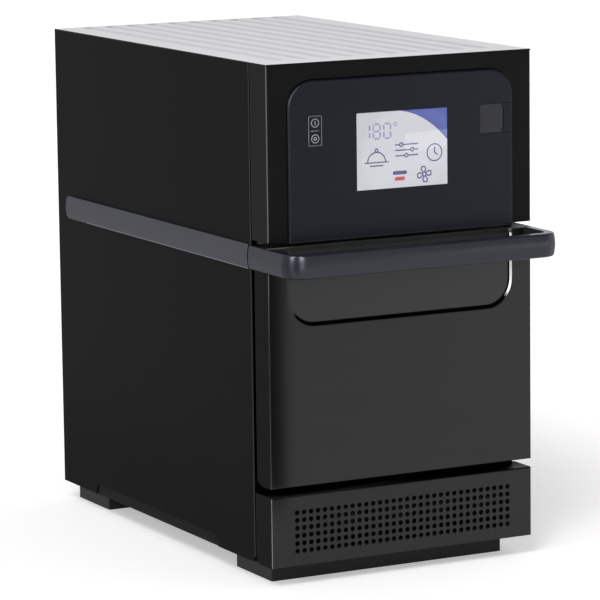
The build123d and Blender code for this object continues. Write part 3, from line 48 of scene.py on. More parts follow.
# Camera
# A long lens from 4.6 m away, 28 degrees to the left of the front and 9 degrees above level,
# fitted to the edges of the case. It hangs 0.7 degrees out of level.
camera_place = Vector((-2.0908, -4.0002, 1.0219))
camera_yaw = 0.4826
camera_pitch = 0.1599
camera_roll = -0.0125
camera_lens = 219.3
forward = Vector((sin(camera_yaw) * cos(camera_pitch), cos(camera_yaw) * cos(camera_pitch),
                  -sin(camera_pitch)))
level = Vector((cos(camera_yaw), -sin(camera_yaw), 0))
upward = level.cross(forward)
across = level * cos(camera_roll) + upward * sin(camera_roll)
upright = upward * cos(camera_roll) - level * sin(camera_roll)
camera = bpy.data.objects.new("camera", bpy.data.cameras.new("camera"))
camera.data.lens = camera_lens
camera.data.sensor_width = 36
camera.data.clip_end = 100
camera.matrix_world = Matrix((across, upright, -forward)).transposed().to_4x4()
camera.location = camera_place
bpy.context.scene.collection.objects.link(camera)
bpy.context.scene.camera = camera
bpy.context.scene.view_settings.view_transform = "Standard"


# Light, floor and cards
# A white room with soft suns, which light the floor evenly: a high key from the front left, two
# narrow ones that draw the upright edges, and a fill from the right. Grey cards on the floor and in
# front keep the black panels black in their reflections, and narrow white ones draw the edges.
def tone(code):
    """An sRGB hex value as linear red, green, blue and 1."""
    parts = [int(code[start:start + 2], 16) / 255 for start in (1, 3, 5)]
    return [part / 12.92 if part <= 0.04045 else ((part + 0.055) / 1.055) ** 2.4 for part in parts] + [1]


def add_node(tree, kind, values=None, links=None, **settings):
    """Adds a node with its settings, its input values and the sockets that feed its inputs."""
    node = tree.nodes.new(kind)
    for name, value in settings.items():
        setattr(node, name, value)
    for name, value in (values or {}).items():
        node.inputs[name].default_value = value
    for name, socket in (links or {}).items():
        tree.links.new(socket, node.inputs[name])
    return node


def new_surface(name, **values):
    """A material that holds only its shader, with that shader and the node tree."""
    material = bpy.data.materials.new(name)
    material.use_nodes = True
    tree = material.node_tree
    tree.nodes.clear()
    inputs = {key.replace("_", " "): value for key, value in values.items()}
    shader = add_node(tree, "ShaderNodeBsdfPrincipled", inputs)
    add_node(tree, "ShaderNodeOutputMaterial", links={"Surface": shader.outputs["BSDF"]})
    return material, tree, shader


def add_math(tree, operation, first, second):
    """A sum, product or the like of two sockets."""
    return add_node(tree, "ShaderNodeMath", links={0: first, 1: second}, operation=operation).outputs[0]


def seen_directly(tree):
    """1 for rays from the camera, mirrors and glass, and 0 for those that only light a surface."""
    path = add_node(tree, "ShaderNodeLightPath").outputs
    return add_math(tree, "MAXIMUM", path["Is Camera Ray"],
                    add_math(tree, "MAXIMUM", path["Is Glossy Ray"], path["Is Transmission Ray"]))


# The room lights surfaces at one level. Mirrors see it white low down. It falls to the high light
# across the high band, and to the ceiling light across the ceiling band, which leans to the front.
room_light = 0.5
high_light = 0.45
high_band = (0.15, 0.45)
ceiling_light = 0.04
ceiling_band = (0.65, 0.9)
ceiling_lean = 0.6
# Each lamp has its degrees to the left of the front, above level and across, and its power.
lamps = {
    "key": (45, 47, 18, 1.25),
    "left_strip": (72, 24, 12, 0.6),
    "front_strip": (30, 26, 12, 0.15),
    "fill": (-40, 35, 50, 0.2),
}
world = bpy.data.worlds.new("white_room")
world.use_nodes = True
tree = world.node_tree
tree.nodes.clear()
heading = add_node(tree, "ShaderNodeSeparateXYZ", links={
    "Vector": add_node(tree, "ShaderNodeTexCoord").outputs["Generated"]})
over_front = add_math(tree, "SUBTRACT", heading.outputs["Z"], add_node(
    tree, "ShaderNodeMath", {1: ceiling_lean}, {0: heading.outputs["Y"]}, operation="MULTIPLY").outputs[0])
mirrored = add_math(tree, "MULTIPLY", *[
    add_node(tree, "ShaderNodeMapRange", {"From Min": low, "From Max": high, "To Min": 1, "To Max": light},
             {"Value": height}).outputs[0]
    for (low, high), light, height in ((high_band, high_light, heading.outputs["Z"]),
                                       (ceiling_band, ceiling_light, over_front))])
camera_ray = add_node(tree, "ShaderNodeLightPath").outputs["Is Camera Ray"]
strength = add_node(tree, "ShaderNodeMapRange", {"To Min": room_light}, {
    "Value": seen_directly(tree), "To Max": add_math(tree, "MAXIMUM", camera_ray, mirrored)})
sky = add_node(tree, "ShaderNodeBackground", {"Color": tone("#ffffff")}, {"Strength": strength.outputs[0]})
add_node(tree, "ShaderNodeOutputWorld", links={"Surface": sky.outputs[0]})
bpy.context.scene.world = world
for name, (turn, height, spread, power) in lamps.items():
    lamp = bpy.data.objects.new(name, bpy.data.lights.new(name, "SUN"))
    lamp.data.energy = power
    lamp.data.angle = radians(spread)
    turn, height = radians(turn), radians(height)
    away = Vector((-sin(turn) * cos(height), -cos(turn) * cos(height), sin(height)))
    lamp.rotation_mode = "QUATERNION"
    lamp.rotation_quaternion = away.to_track_quat("Z", "Y")
    lamp.visible_glossy = False
    bpy.context.scene.collection.objects.link(lamp)

floor_size = 60
floor_glow = 0.385
floor_mesh = bpy.data.meshes.new("floor")
floor_corners = [(x * floor_size, y * floor_size, 0) for x, y in ((-1, -1), (1, -1), (1, 1), (-1, 1))]
floor_mesh.from_pydata(floor_corners, [], [(0, 1, 2, 3)])
floor = bpy.data.objects.new("floor", floor_mesh)
bpy.context.scene.collection.objects.link(floor)
floor_paint, tree, shader = new_surface("matt_white_floor", Roughness=0.9, Specular_IOR_Level=0.0)
shader.inputs["Base Color"].default_value = tone("#e6e6e6")
shader.inputs["Emission Color"].default_value = tone("#ffffff")
glow = add_node(tree, "ShaderNodeMath", {1: floor_glow}, {0: seen_directly(tree)}, operation="MULTIPLY")
tree.links.new(glow.outputs[0], shader.inputs["Emission Strength"])
floor_mesh.materials.append(floor_paint)


def add_card(name, level, *panels):
    """A folded card that only reflections show, from panels of four corners in metres."""
    mesh = bpy.data.meshes.new(name)
    mesh.from_pydata([corner for panel in panels for corner in panel], [],
                     [range(4 * index, 4 * index + 4) for index in range(len(panels))])
    paper = bpy.data.materials.new(name)
    paper.use_nodes = True
    paper.node_tree.nodes.clear()
    glow = add_node(paper.node_tree, "ShaderNodeEmission", {"Color": tone("#ffffff"), "Strength": level})
    add_node(paper.node_tree, "ShaderNodeOutputMaterial", links={"Surface": glow.outputs[0]})
    mesh.materials.append(paper)
    card = bpy.data.objects.new(name, mesh)
    bpy.context.scene.collection.objects.link(card)
    card.visible_camera = card.visible_diffuse = card.visible_transmission = card.visible_shadow = False


def upright_panel(start, end, low, high):
    """The corners of a panel that stands on a line in plan."""
    return [(*start, low), (*end, low), (*end, high), (*start, high)]


def flat_panel(near, far, front, back, height):
    """The corners of a level panel."""
    return [(near, front, height), (far, front, height), (far, back, height), (near, back, height)]


# The sides mirror a card on the floor that folds up behind and far out.
side_level = 0.57
low_left_level = 0.38
card_near = 0.19
card_far = 4.5
card_front = -0.25
card_back = 6
card_lift = 4 * mm
low_left_far = -0.4
low_left_back = 1
low_left_lift = 8 * mm
for name, side, height in (("left_card", -1, 6), ("right_card", 1, 0.9)):
    near = side * card_near
    far = side * card_far
    add_card(name, side_level, flat_panel(near, far, card_front, card_back, card_lift),
             upright_panel((near, card_back), (far, card_back), 0, height),
             upright_panel((far, card_back), (far, card_front), 0, height))
add_card("low_left_card", low_left_level,
         flat_panel(-card_near, low_left_far, card_front, low_left_back, low_left_lift))
# The front mirrors upright cards: a black one beside the door, a wide grey one and a low white one.
for name, brightness, start, end, low, high in (
        ("door_card", 0, (-0.45, -0.33), (-0.127, -0.33), 0.09, 0.37),
        ("front_card", 0.6, (-3, -3.27), (5, -3.27), 0, 2.5),
        ("front_right_card", 2.5, (1.7, -3.2), (4.5, -3.2), 0.02, 0.45)):
    add_card(name, brightness, upright_panel(start, end, low, high))
# The upright edges mirror two white strips, dimmer low down, with a dark corner between them.
corner_level = 0.3
strip_level = 14
strip_foot = 0.15
strip_waist = 0.6
strip_top = 1.6
left_strip = ((-1.19, -0.47), (-1.07, -0.83))
front_strip = ((-0.62, -1.25), (-0.22, -1.25))
add_card("corner_card", corner_level, upright_panel(left_strip[1], front_strip[0], 0, strip_top),
         upright_panel((-1.25, -0.1), left_strip[0], 0, strip_top))
for name, strip, low_level in (("left_strip", left_strip, 1.5), ("front_strip", front_strip, 3)):
    add_card(name + "_card", strip_level, upright_panel(*strip, strip_waist, strip_top))
    add_card(name + "_low_card", low_level, upright_panel(*strip, strip_foot, strip_waist))


# Base pan, side panels and rear panel
# Folded 1.5 mm steel sheet with a satin black polyester powder coat. The coat gives a fine
# orange peel and no mirror. The cut front edges of the side panels carry a painted highlight.
def coordinates(tree, spacing, stretch=(1, 1, 1)):
    """The piece's own coordinates, scaled so that a pattern repeats at a spacing in millimetres."""
    place = add_node(tree, "ShaderNodeTexCoord")
    scale = [1 / (spacing * mm * share) for share in stretch]
    scaled = add_node(tree, "ShaderNodeMapping", {"Scale": scale}, {"Vector": place.outputs["Object"]})
    return scaled.outputs[0]


def mottle(tree, shader, light, dark, spacing, stretch=(1, 1, 1), target="Base Color"):
    """Lets a colour drift between two tones."""
    cloud = add_node(tree, "ShaderNodeTexNoise", {"Scale": 1, "Detail": 3},
                     {"Vector": coordinates(tree, spacing, stretch)})
    mixed = add_node(tree, "ShaderNodeMix", {6: tone(dark), 7: tone(light)}, {0: cloud.outputs["Fac"]},
                     data_type="RGBA")
    tree.links.new(mixed.outputs[2], shader.inputs[target])
    return mixed


def relief(tree, shader, spacing, depth, stretch=(1, 1, 1), edge=0.0, detail=2.0):
    """Gives a surface a fine relief, and softens its edges by a radius, both in millimetres."""
    noise = add_node(tree, "ShaderNodeTexNoise", {"Scale": 1, "Detail": detail},
                     {"Vector": coordinates(tree, spacing, stretch)})
    links = {"Height": noise.outputs["Fac"]}
    if edge:
        links["Normal"] = add_node(tree, "ShaderNodeBevel", {"Radius": edge * mm}, samples=4).outputs[0]
    bump = add_node(tree, "ShaderNodeBump", {"Strength": 1, "Distance": depth * mm}, links)
    tree.links.new(bump.outputs[0], shader.inputs["Normal"])
    return noise


def vary_roughness(tree, shader, pattern, low, high):
    """Lets the roughness follow a pattern between two values."""
    span = add_node(tree, "ShaderNodeMapRange", {"To Min": low, "To Max": high},
                    {"Value": pattern.outputs["Fac"]})
    tree.links.new(span.outputs[0], shader.inputs["Roughness"])


def paint_edge_highlight(tree, shader, base, code, radius, start, full, spared=None):
    """Paints a highlight as a lighter line along upright edges, within a radius in millimetres, but not where
    spared.
    """
    rounded = add_node(tree, "ShaderNodeBevel", {"Radius": radius * mm}, samples=6)
    size = add_node(tree, "ShaderNodeVectorMath", links={0: rounded.outputs[0]}, operation="ABSOLUTE")
    parts = add_node(tree, "ShaderNodeSeparateXYZ", links={"Vector": size.outputs[0]}).outputs
    slant = add_math(tree, "MINIMUM", parts["X"], parts["Y"])
    edge = add_node(tree, "ShaderNodeMapRange", {"From Min": start, "From Max": full},
                    {"Value": slant}).outputs[0]
    if spared:
        edge = add_node(tree, "ShaderNodeMath", links={0: edge, 1: spared}, operation="SUBTRACT",
                        use_clamp=True).outputs[0]
    return repaint(tree, shader, base, edge, code)


def inside_box(tree, low, high):
    """1 where the piece lies inside a box in metres."""
    place = add_node(tree, "ShaderNodeSeparateXYZ", links={
        "Vector": add_node(tree, "ShaderNodeTexCoord").outputs["Object"]})
    inside = []
    for axis in range(3):
        middle = (low[axis] + high[axis]) / 2
        reach = (high[axis] - low[axis]) / 2
        inside.append(add_node(tree, "ShaderNodeMath", {1: middle, 2: reach}, {0: place.outputs[axis]},
                               operation="COMPARE").outputs[0])
    return add_math(tree, "MULTIPLY", add_math(tree, "MULTIPLY", inside[0], inside[1]), inside[2])


def facing(tree, axis, start, full):
    """Rises from 0 to 1 as a face turns towards an axis, from one share of it to another."""
    turn = add_node(tree, "ShaderNodeSeparateXYZ", links={
        "Vector": add_node(tree, "ShaderNodeNewGeometry").outputs["True Normal"]}).outputs[axis]
    return add_node(tree, "ShaderNodeMapRange", {"From Min": start, "From Max": full},
                    {"Value": turn}).outputs[0]


def repaint(tree, shader, base, mask, code):
    """Gives the masked part of a surface another colour."""
    mixed = add_node(tree, "ShaderNodeMix", {7: tone(code)}, {0: mask, 6: base.outputs[2]}, data_type="RGBA")
    tree.links.new(mixed.outputs[2], shader.inputs["Base Color"])
    return mixed


def dress(material, *names):
    """Gives CAD pieces their material."""
    for name in names:
        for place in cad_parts[name].material_slots:
            place.material = material


powder_coat, tree, shader = new_surface("satin_black_powder_coat", Specular_IOR_Level=0.036, IOR=1.5)
base = mottle(tree, shader, "#111112", "#0e0e0f", 60)
panel_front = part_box("side_panel_left")[0].y
edge_reach = 0.2 * mm
# A painted highlight: a lighter grey along the cut front edges of the side panels.
front_edge_highlight = inside_box(tree, (-1, panel_front - edge_reach, 0), (1, panel_front + edge_reach, 1))
repaint(tree, shader, base, front_edge_highlight, "#48484a")
vary_roughness(tree, shader, relief(tree, shader, 1.4, 0.008, edge=1.1), 0.36, 0.42)
dress(powder_coat, "side_panel_left", "side_panel_right", "rear_panel")
pan_coat, tree, shader = new_surface("textured_black_powder_coat", Specular_IOR_Level=0.08, IOR=1.5)
mottle(tree, shader, "#171718", "#131314", 30)
vary_roughness(tree, shader, relief(tree, shader, 0.9, 0.03, edge=0.8), 0.45, 0.52)
dress(pan_coat, "base_pan")

# Feet
# Two hollow plinths moulded in black glass filled nylon and fixed under the base pan. A fine spark
# eroded grain makes them matt and a little paler than the case.
foot_nylon, tree, shader = new_surface("moulded_black_nylon", Specular_IOR_Level=0.2, IOR=1.52)
mottle(tree, shader, "#232325", "#1f1f21", 25)
vary_roughness(tree, shader, relief(tree, shader, 0.8, 0.03, edge=0.6), 0.5, 0.62)
dress(foot_nylon, "front_foot", "rear_foot")


# Screws of the rear panel
# Cold headed steel pan heads with a cross recess, five down each side, each stopped at its own
# turn. Their zinc plating is bright and a little blue, and drifts in tone.
def add_piece(name, bm, material, body, sharp=30):
    """Makes a piece from its mesh, smooth but for edges sharper than an angle, on a body."""
    for face in bm.faces:
        face.smooth = True
    for edge in bm.edges:
        edge.smooth = len(edge.link_faces) == 2 and edge.calc_face_angle(0) < radians(sharp)
    mesh = bpy.data.meshes.new(name)
    bm.to_mesh(mesh)
    bm.free()
    mesh.materials.append(material)
    piece = bpy.data.objects.new(name, mesh)
    bpy.context.scene.collection.objects.link(piece)
    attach(piece, body)
    return piece


def add_rings(bm, rings, closed=False):
    """Joins rings of points, all of one length, with faces, and returns their vertices."""
    loops = [[bm.verts.new(point) for point in ring] for ring in rings]
    pairs = list(zip(loops, loops[1:])) + ([(loops[-1], loops[0])] if closed else [])
    for near, far in pairs:
        for index in range(len(near)):
            after = (index + 1) % len(near)
            bm.faces.new((near[index], near[after], far[after], far[index]))
    return loops


def turned(centre, profile, sides, flute=0.0, flutes=1):
    """Rings round an axis that runs to the back, from pairs of radius and depth in millimetres."""
    rings = []
    for radius, depth in profile:
        ring = []
        for side in range(sides):
            angle = 2 * pi * side / sides
            reach = radius * (1 + flute * cos(flutes * angle)) * mm
            ring.append(centre + Vector((reach * cos(angle), depth * mm, reach * sin(angle))))
        rings.append(ring)
    return rings


zinc, tree, shader = new_surface("zinc_plated_steel", Metallic=1.0)
mottle(tree, shader, "#c9cdd2", "#aeb3b9", 9)
vary_roughness(tree, shader, relief(tree, shader, 2.5, 0.008, edge=0.3), 0.28, 0.42)

screw_rows = 5
screw_head_radius = 4
screw_head_height = 2.2
screw_head_sides = 24
recess_reach = 2.2
recess_half_width = 0.55
recess_depth = 1.5
recess_taper = 0.8
row_turn = 37
side_turn = 50
screws_low, screws_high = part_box("rear_panel_screws")
rear_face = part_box("rear_panel")[1].y
screw_x = screws_high.x - screw_head_radius * mm
screw_low = screws_low.z + screw_head_radius * mm
screw_step = (screws_high.z - screws_low.z - 2 * screw_head_radius * mm) / (screw_rows - 1)
head_profile = [(screw_head_radius, 0), (screw_head_radius, 0.9), (0.93 * screw_head_radius, 1.5),
                (0.78 * screw_head_radius, 1.95), (0.6 * screw_head_radius, screw_head_height)]
cross_outline = [(recess_reach, recess_half_width), (recess_half_width, recess_half_width),
                 (recess_half_width, recess_reach)]
bm = bmesh.new()
for side in (-1, 1):
    for row in range(screw_rows):
        centre = Vector((side * screw_x, rear_face, screw_low + row * screw_step))
        turn = radians(row_turn * row + side_turn * side)
        loops = add_rings(bm, turned(centre, head_profile, screw_head_sides))
        cross = []
        for quarter in range(4):
            for u, v in cross_outline:
                angle = atan2(v, u) + quarter * pi / 2 + turn
                reach = sqrt(u * u + v * v) * mm
                cross.append(Vector((reach * cos(angle), screw_head_height * mm, reach * sin(angle))))
        deep = [centre + Vector((recess_taper * p.x, p.y - recess_depth * mm, recess_taper * p.z))
                for p in cross]
        recess = add_rings(bm, [[centre + p for p in cross], deep])
        bm.faces.new(recess[1])
        rim = [bm.edges.get((loops[-1][i - 1], loops[-1][i])) for i in range(screw_head_sides)]
        mouth = [bm.edges.get((recess[0][i - 1], recess[0][i])) for i in range(len(cross))]
        bmesh.ops.bridge_loops(bm, edges=rim + mouth)
bmesh.ops.recalc_face_normals(bm, faces=bm.faces)
screws = add_piece("rear_panel_screw_heads", bm, zinc, "casing")
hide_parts("rear_panel_screws")

# Cable gland
# A moulded nylon gland: a hexagon nut each side of the panel, and a fluted dome nut with an open
# bore for the mains cable. The nylon is matt black.
black_nylon, tree, shader = new_surface("matt_black_nylon", Specular_IOR_Level=0.4, IOR=1.52)
mottle(tree, shader, "#1b1b1c", "#151516", 12)
vary_roughness(tree, shader, relief(tree, shader, 0.6, 0.02, edge=0.3), 0.45, 0.6)
gland_low, gland_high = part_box("mains_gland")
gland_centre = Vector(((gland_low.x + gland_high.x) / 2, rear_face, (gland_low.z + gland_high.z) / 2))
panel_thickness = 1.5
nut_radius = 12
nut_height = 5
nut_chamfer = 0.8
bore_radius = 5.5
thread_turns = 3
thread_root = 8.9
thread_crest = 9.7
thread_end = -nut_height - 1
collar_radius = 9.9
collar_end = nut_height + 1.2
dome_radius = 9.6
dome_end = (gland_high.y - rear_face) / mm
inner_end = (gland_low.y - rear_face) / mm
bm = bmesh.new()
for start in (0, -panel_thickness - nut_height):
    nut = [(bore_radius, start), (nut_radius - nut_chamfer, start), (nut_radius, start + nut_chamfer / 2),
           (nut_radius, start + nut_height - nut_chamfer / 2), (nut_radius - nut_chamfer, start + nut_height),
           (bore_radius, start + nut_height)]
    add_rings(bm, turned(gland_centre, nut, 6), closed=True)
thread = [(bore_radius, inner_end)]
for lap in range(thread_turns + 1):
    thread += [(thread_root, inner_end + 0.4 + lap), (thread_crest, inner_end + 0.9 + lap)]
thread += [(thread_crest, thread_end), (bore_radius, thread_end)]
add_rings(bm, turned(gland_centre, thread, 48), closed=True)
collar = [(bore_radius, nut_height), (collar_radius, nut_height), (collar_radius, collar_end),
          (bore_radius, collar_end)]
add_rings(bm, turned(gland_centre, collar, 48), closed=True)
dome = [(bore_radius, collar_end), (dome_radius, collar_end), (dome_radius, dome_end - 4),
        (dome_radius - 0.5, dome_end - 2.6), (dome_radius - 1.6, dome_end - 1.2), (dome_radius - 3, dome_end),
        (bore_radius + 0.4, dome_end), (bore_radius, dome_end - 0.5)]
add_rings(bm, turned(gland_centre, dome, 72, flute=0.02, flutes=18), closed=True)
bmesh.ops.recalc_face_normals(bm, faces=bm.faces)
gland = add_piece("mains_gland_moulding", bm, black_nylon, "casing")
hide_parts("mains_gland")

# Top cover
# One sheet of pale satin stainless steel over the case and the bezel, with ten grooves pressed
# from front to back. It is brushed along the grooves, so it is pale and hardly mirrors, and its cut
# edges are painted black with the case.
pale_steel, tree, shader = new_surface("satin_brushed_pale_steel", Metallic=0.85)
base = mottle(tree, shader, "#fafafd", "#f2f2f6", 12, stretch=(0.2, 12, 1))
bare = facing(tree, "Z", 0.3, 0.5)
cut_edge = add_node(tree, "ShaderNodeMix", {6: tone("#020202")}, {0: bare, 7: base.outputs[2]},
                    data_type="RGBA")
tree.links.new(cut_edge.outputs[2], shader.inputs["Base Color"])
brushing = relief(tree, shader, 1.0, 0.01, stretch=(1, 60, 1), edge=0.8)
vary_roughness(tree, shader, brushing, 0.34, 0.46)
dress(pale_steel, "top_cover")

# Trim strips
# Grey ABS mouldings that clip to the side panels in line with the handle, with a crowned face
# and a satin skin. Their lower edge carries a painted highlight, and their front ends a painted
# shade in near black.
strip_abs, tree, shader = new_surface("satin_grey_abs", Specular_IOR_Level=0.5, IOR=1.53)
shader.inputs["Specular Tint"].default_value = tone("#eef0ff")
base = mottle(tree, shader, "#2f3038", "#2b2c34", 30)
strip_low, strip_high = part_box("trim_strip_left")
line_start = strip_low.y + 2 * mm
line_end = strip_high.y - 60 * mm
line_top = strip_low.z + 1.1 * mm
# A painted highlight: a light grey line along the strip's lower edge.
lower_edge_highlight = inside_box(tree, (-1, line_start, 0), (1, line_end, line_top))
base = repaint(tree, shader, base, lower_edge_highlight, "#737377")
# Painted shade: the ends that face the front are near black, as in the shade behind the handle.
repaint(tree, shader, base, facing(tree, "Y", -0.5, -0.7), "#030303")
vary_roughness(tree, shader, relief(tree, shader, 0.9, 0.008, edge=0.5), 0.34, 0.42)
dress(strip_abs, "trim_strip_left", "trim_strip_right")


# Oven liner and the plates inside it
# Brushed 304 stainless steel, folded and spot welded. The grain shows as fine streaks, drawn here
# wider than they are so that they show, and draws reflections out across itself.
def new_brushed_metal(name, pull):
    """A metal whose grain runs across it and pulls its reflections up and down."""
    material, tree, shader = new_surface(name, Metallic=1.0, Anisotropic=pull, Anisotropic_Rotation=0.25)
    tangent = add_node(tree, "ShaderNodeTangent", direction_type="RADIAL", axis="Z")
    tree.links.new(tangent.outputs[0], shader.inputs["Tangent"])
    return material, tree, shader


stainless, tree, shader = new_brushed_metal("brushed_304_stainless", 0.4)
mottle(tree, shader, "#c6c5c1", "#b3b2ae", 3, stretch=(25, 25, 0.5))
brushing = relief(tree, shader, 0.8, 0.012, stretch=(60, 60, 1), edge=0.4)
vary_roughness(tree, shader, brushing, 0.26, 0.4)
dress(stainless, "oven_cavity", "impinger_plate", "fan_baffle", "exhaust_duct", "convection_impeller",
      "convection_shaft", "temperature_sensor", "stirrer", "door_inner_panel")

# Front frame
# The same steel, bare where the door seal lands round the mouth. Its border and foot, which show in
# the seams of the front, carry a satin black paint that fades out over a sprayed edge. Its near black
# tone and low gloss also stand in for the shade in the deep seams, as painted shade.
frame_steel, tree, shader = new_surface("part_painted_304_stainless", Specular_IOR_Level=0.02)
seal_low, seal_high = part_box("door_seal")
spray_width = 4
place = add_node(tree, "ShaderNodeSeparateXYZ", links={
    "Vector": add_node(tree, "ShaderNodeTexCoord").outputs["Object"]}).outputs
aside = add_node(tree, "ShaderNodeMath", links={0: place["X"]}, operation="ABSOLUTE")
bare = add_math(tree, "MULTIPLY", *[
    add_node(tree, "ShaderNodeMapRange", {"From Min": start + spray * spray_width * mm, "From Max": start},
             {"Value": socket}).outputs[0]
    for socket, start, spray in ((aside.outputs[0], seal_high.x, 1), (place["Z"], seal_low.z, -1))])
steel_tone = mottle(tree, shader, "#c6c5c1", "#b3b2ae", 3, stretch=(25, 25, 0.5))
# Near black border: black paint and painted shade for the seams together.
painted = add_node(tree, "ShaderNodeMix", {6: tone("#050505")}, {0: bare, 7: steel_tone.outputs[2]},
                   data_type="RGBA")
tree.links.new(painted.outputs[2], shader.inputs["Base Color"])
tree.links.new(bare, shader.inputs["Metallic"])
vary_roughness(tree, shader, relief(tree, shader, 0.8, 0.012, stretch=(60, 60, 1), edge=0.4), 0.3, 0.42)
dress(frame_steel, "front_frame")

# Folded brackets, posts and trays of the chassis
# Parts bent from 1 to 2 mm sheet or turned from bar, screwed or welded in place, and zinc plated
# as the screws are.
dress(zinc, "hinge_brackets", "cavity_supports", "component_tray", "waveguide", "magnetron",
      "stirrer_motor", "hv_capacitor", "mains_filter", "usb_socket", "door_hinge_blocks",
      "door_hinge_pins", "interlock_tongues")


# Ceramic floor
# A pressed and fired cordierite plate that closes the stirrer's well. It is cream with fine dark
# specks, under a thin clear glaze.
def add_specks(tree, shader, base, code, spacing, inner, outer, share=1.0):
    """Scatters specks of another colour, about one in each spacing in millimetres."""
    cells = add_node(tree, "ShaderNodeTexVoronoi", {"Scale": 1}, {"Vector": coordinates(tree, spacing)})
    spots = add_node(tree, "ShaderNodeMapRange",
                     {"From Min": inner, "From Max": outer, "To Min": share, "To Max": 0},
                     {"Value": cells.outputs["Distance"]})
    repaint(tree, shader, base, spots.outputs[0], code)


ceramic, tree, shader = new_surface("glazed_cordierite", IOR=1.55, Roughness=0.24, Coat_Weight=0.3)
base = mottle(tree, shader, "#ddd6c8", "#d2cabb", 18)
add_specks(tree, shader, base, "#8f8574", 4, 0.06, 0.12)
dress(ceramic, "ceramic_floor")

# Cook plate
# Pressed aluminium with a dark non-stick coat, which is smooth to the touch and carries a fine
# pale fleck.
non_stick, tree, shader = new_surface("flecked_non_stick_coat", IOR=1.38, Roughness=0.38)
base = mottle(tree, shader, "#2b2928", "#232221", 20)
add_specks(tree, shader, base, "#77736f", 2.4, 0.05, 0.11, share=0.7)
dress(non_stick, "cook_plate")

# Heating element and catalyst
# A sheathed nickel alloy tube and a metal cell block, both dark and a little blue and brown from
# heat.
heated_alloy, tree, shader = new_surface("heat_darkened_alloy", Metallic=1.0)
mottle(tree, shader, "#6d5f57", "#3c3d45", 16)
vary_roughness(tree, shader, relief(tree, shader, 1.2, 0.02), 0.38, 0.55)
dress(heated_alloy, "heating_element", "catalyst")

# Wool round the cavity and in the door
# Mats of needled mineral wool, cut to shape and held by the sheet round them. They are pale and
# yellowish, with a loose fibrous face.
wool, tree, shader = new_surface("needled_mineral_wool", Roughness=0.95, Sheen_Weight=0.2)
mottle(tree, shader, "#d9cfae", "#b9ad88", 5, stretch=(3, 3, 0.6))
relief(tree, shader, 1.6, 0.5, stretch=(3, 3, 0.6), detail=6)
dress(wool, "cavity_insulation", "door_insulation")

# Motor, transformer core and magnets
# Punched iron sheets, stacked and dipped in a brown varnish. The stack shows as fine edges under
# a dull gloss.
varnished_iron, tree, shader = new_surface("varnished_iron_laminations", Metallic=0.6)
mottle(tree, shader, "#4a4440", "#2d2927", 1, stretch=(40, 0.6, 40))
vary_roughness(tree, shader, relief(tree, shader, 0.7, 0.05, stretch=(60, 1, 60), edge=0.5), 0.45, 0.6)
dress(varnished_iron, "hv_transformer", "convection_motor", "filter_magnets")

# Circuit boards
# Etched and printed glass epoxy laminate on posts. It is glossy green from its solder mask, with
# lighter copper runs on a 5 mm grid.
laminate, tree, shader = new_surface("green_glass_epoxy", Roughness=0.3, IOR=1.5)
runs = add_node(tree, "ShaderNodeTexBrick", {"Scale": 1, "Mortar Size": 0.06, "Color1": tone("#0e4a26"),
                                             "Color2": tone("#0c4222"), "Mortar": tone("#2b7a49")},
                {"Vector": coordinates(tree, 5)})
tree.links.new(runs.outputs["Color"], shader.inputs["Base Color"])
dress(laminate, "control_board", "relay_board")

# Cooling fan, switches and switch body
# Moulded in glass filled black nylon, as the gland is, and clipped or screwed to their panels. The
# nylon is matt black.
dress(black_nylon, "cooling_fan_frame", "cooling_fan_rotor", "interlock_switches", "power_switch_body")

# Upper bezel
# A folded steel surround in a smooth satin black paint, finer than the powder coat. The rounded
# upright folds carry a painted highlight, a lighter grey line.
bezel_paint, tree, shader = new_surface("smooth_satin_black_paint", Specular_IOR_Level=0.065, IOR=1.5)
base = mottle(tree, shader, "#121213", "#0f0f10", 50)
# Painted highlight: a lighter grey line along the bezel's upright folds.
paint_edge_highlight(tree, shader, base, "#5e5e60", radius=0.5, start=0.24, full=0.53)
vary_roughness(tree, shader, relief(tree, shader, 2.0, 0.004, edge=1.1), 0.26, 0.32)
dress(bezel_paint, "front_bezel")

# Control fascia
# A deep ABS moulding in dark blue grey with a fine spark eroded texture and a rolled rim. The
# rocker and the tab of the flap are moulded in the same.
fascia_abs, tree, shader = new_surface("textured_blue_grey_abs", Specular_IOR_Level=0.2, IOR=1.53)
shader.inputs["Specular Tint"].default_value = tone("#e9eeff")
mottle(tree, shader, "#0f1017", "#0d0e14", 40)
vary_roughness(tree, shader, relief(tree, shader, 0.7, 0.006, edge=0.5), 0.26, 0.34)
dress(fascia_abs, "control_fascia", "power_rocker", "usb_flap_tab")

# Flap over the memory stick socket
# A small door moulded in the same ABS on a pin, a shade lighter. The gap round it shows as a dark
# line.
flap_abs, tree, shader = new_surface("satin_dark_grey_abs", Specular_IOR_Level=0.25, IOR=1.53)
base = mottle(tree, shader, "#2a2b31", "#26272d", 20)
flap_low, flap_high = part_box("usb_flap")
outline = Vector((0.7 * mm, -mm, 0.7 * mm))
face = inside_box(tree, flap_low + outline, flap_high - outline)
rim = add_node(tree, "ShaderNodeMath", {0: 1}, {1: face}, operation="SUBTRACT")
repaint(tree, shader, base, rim.outputs[0], "#0b0b0d")
vary_roughness(tree, shader, relief(tree, shader, 0.8, 0.006, edge=0.25), 0.34, 0.42)
dress(flap_abs, "usb_flap")


# Touch display
# A lit panel under 2 mm of clear float glass, which has a ground edge, a coat against glare and
# the slow wave of float glass. The panel shows a made-up start page: off-white, a royal blue
# corner, and icons in navy, lavender and a little red.
def outline_points(shape, steps=40):
    """The points of a circle (u, v, radius) or of an arc (u, v, radius, start, end), in millimetres."""
    u, v, radius, *ends = shape
    start, end = [radians(angle) for angle in ends] if ends else (0, 2 * pi)
    count = steps if not ends else steps + 1
    return [(u + radius * cos(start + (end - start) * step / steps),
             v + radius * sin(start + (end - start) * step / steps)) for step in range(count)]


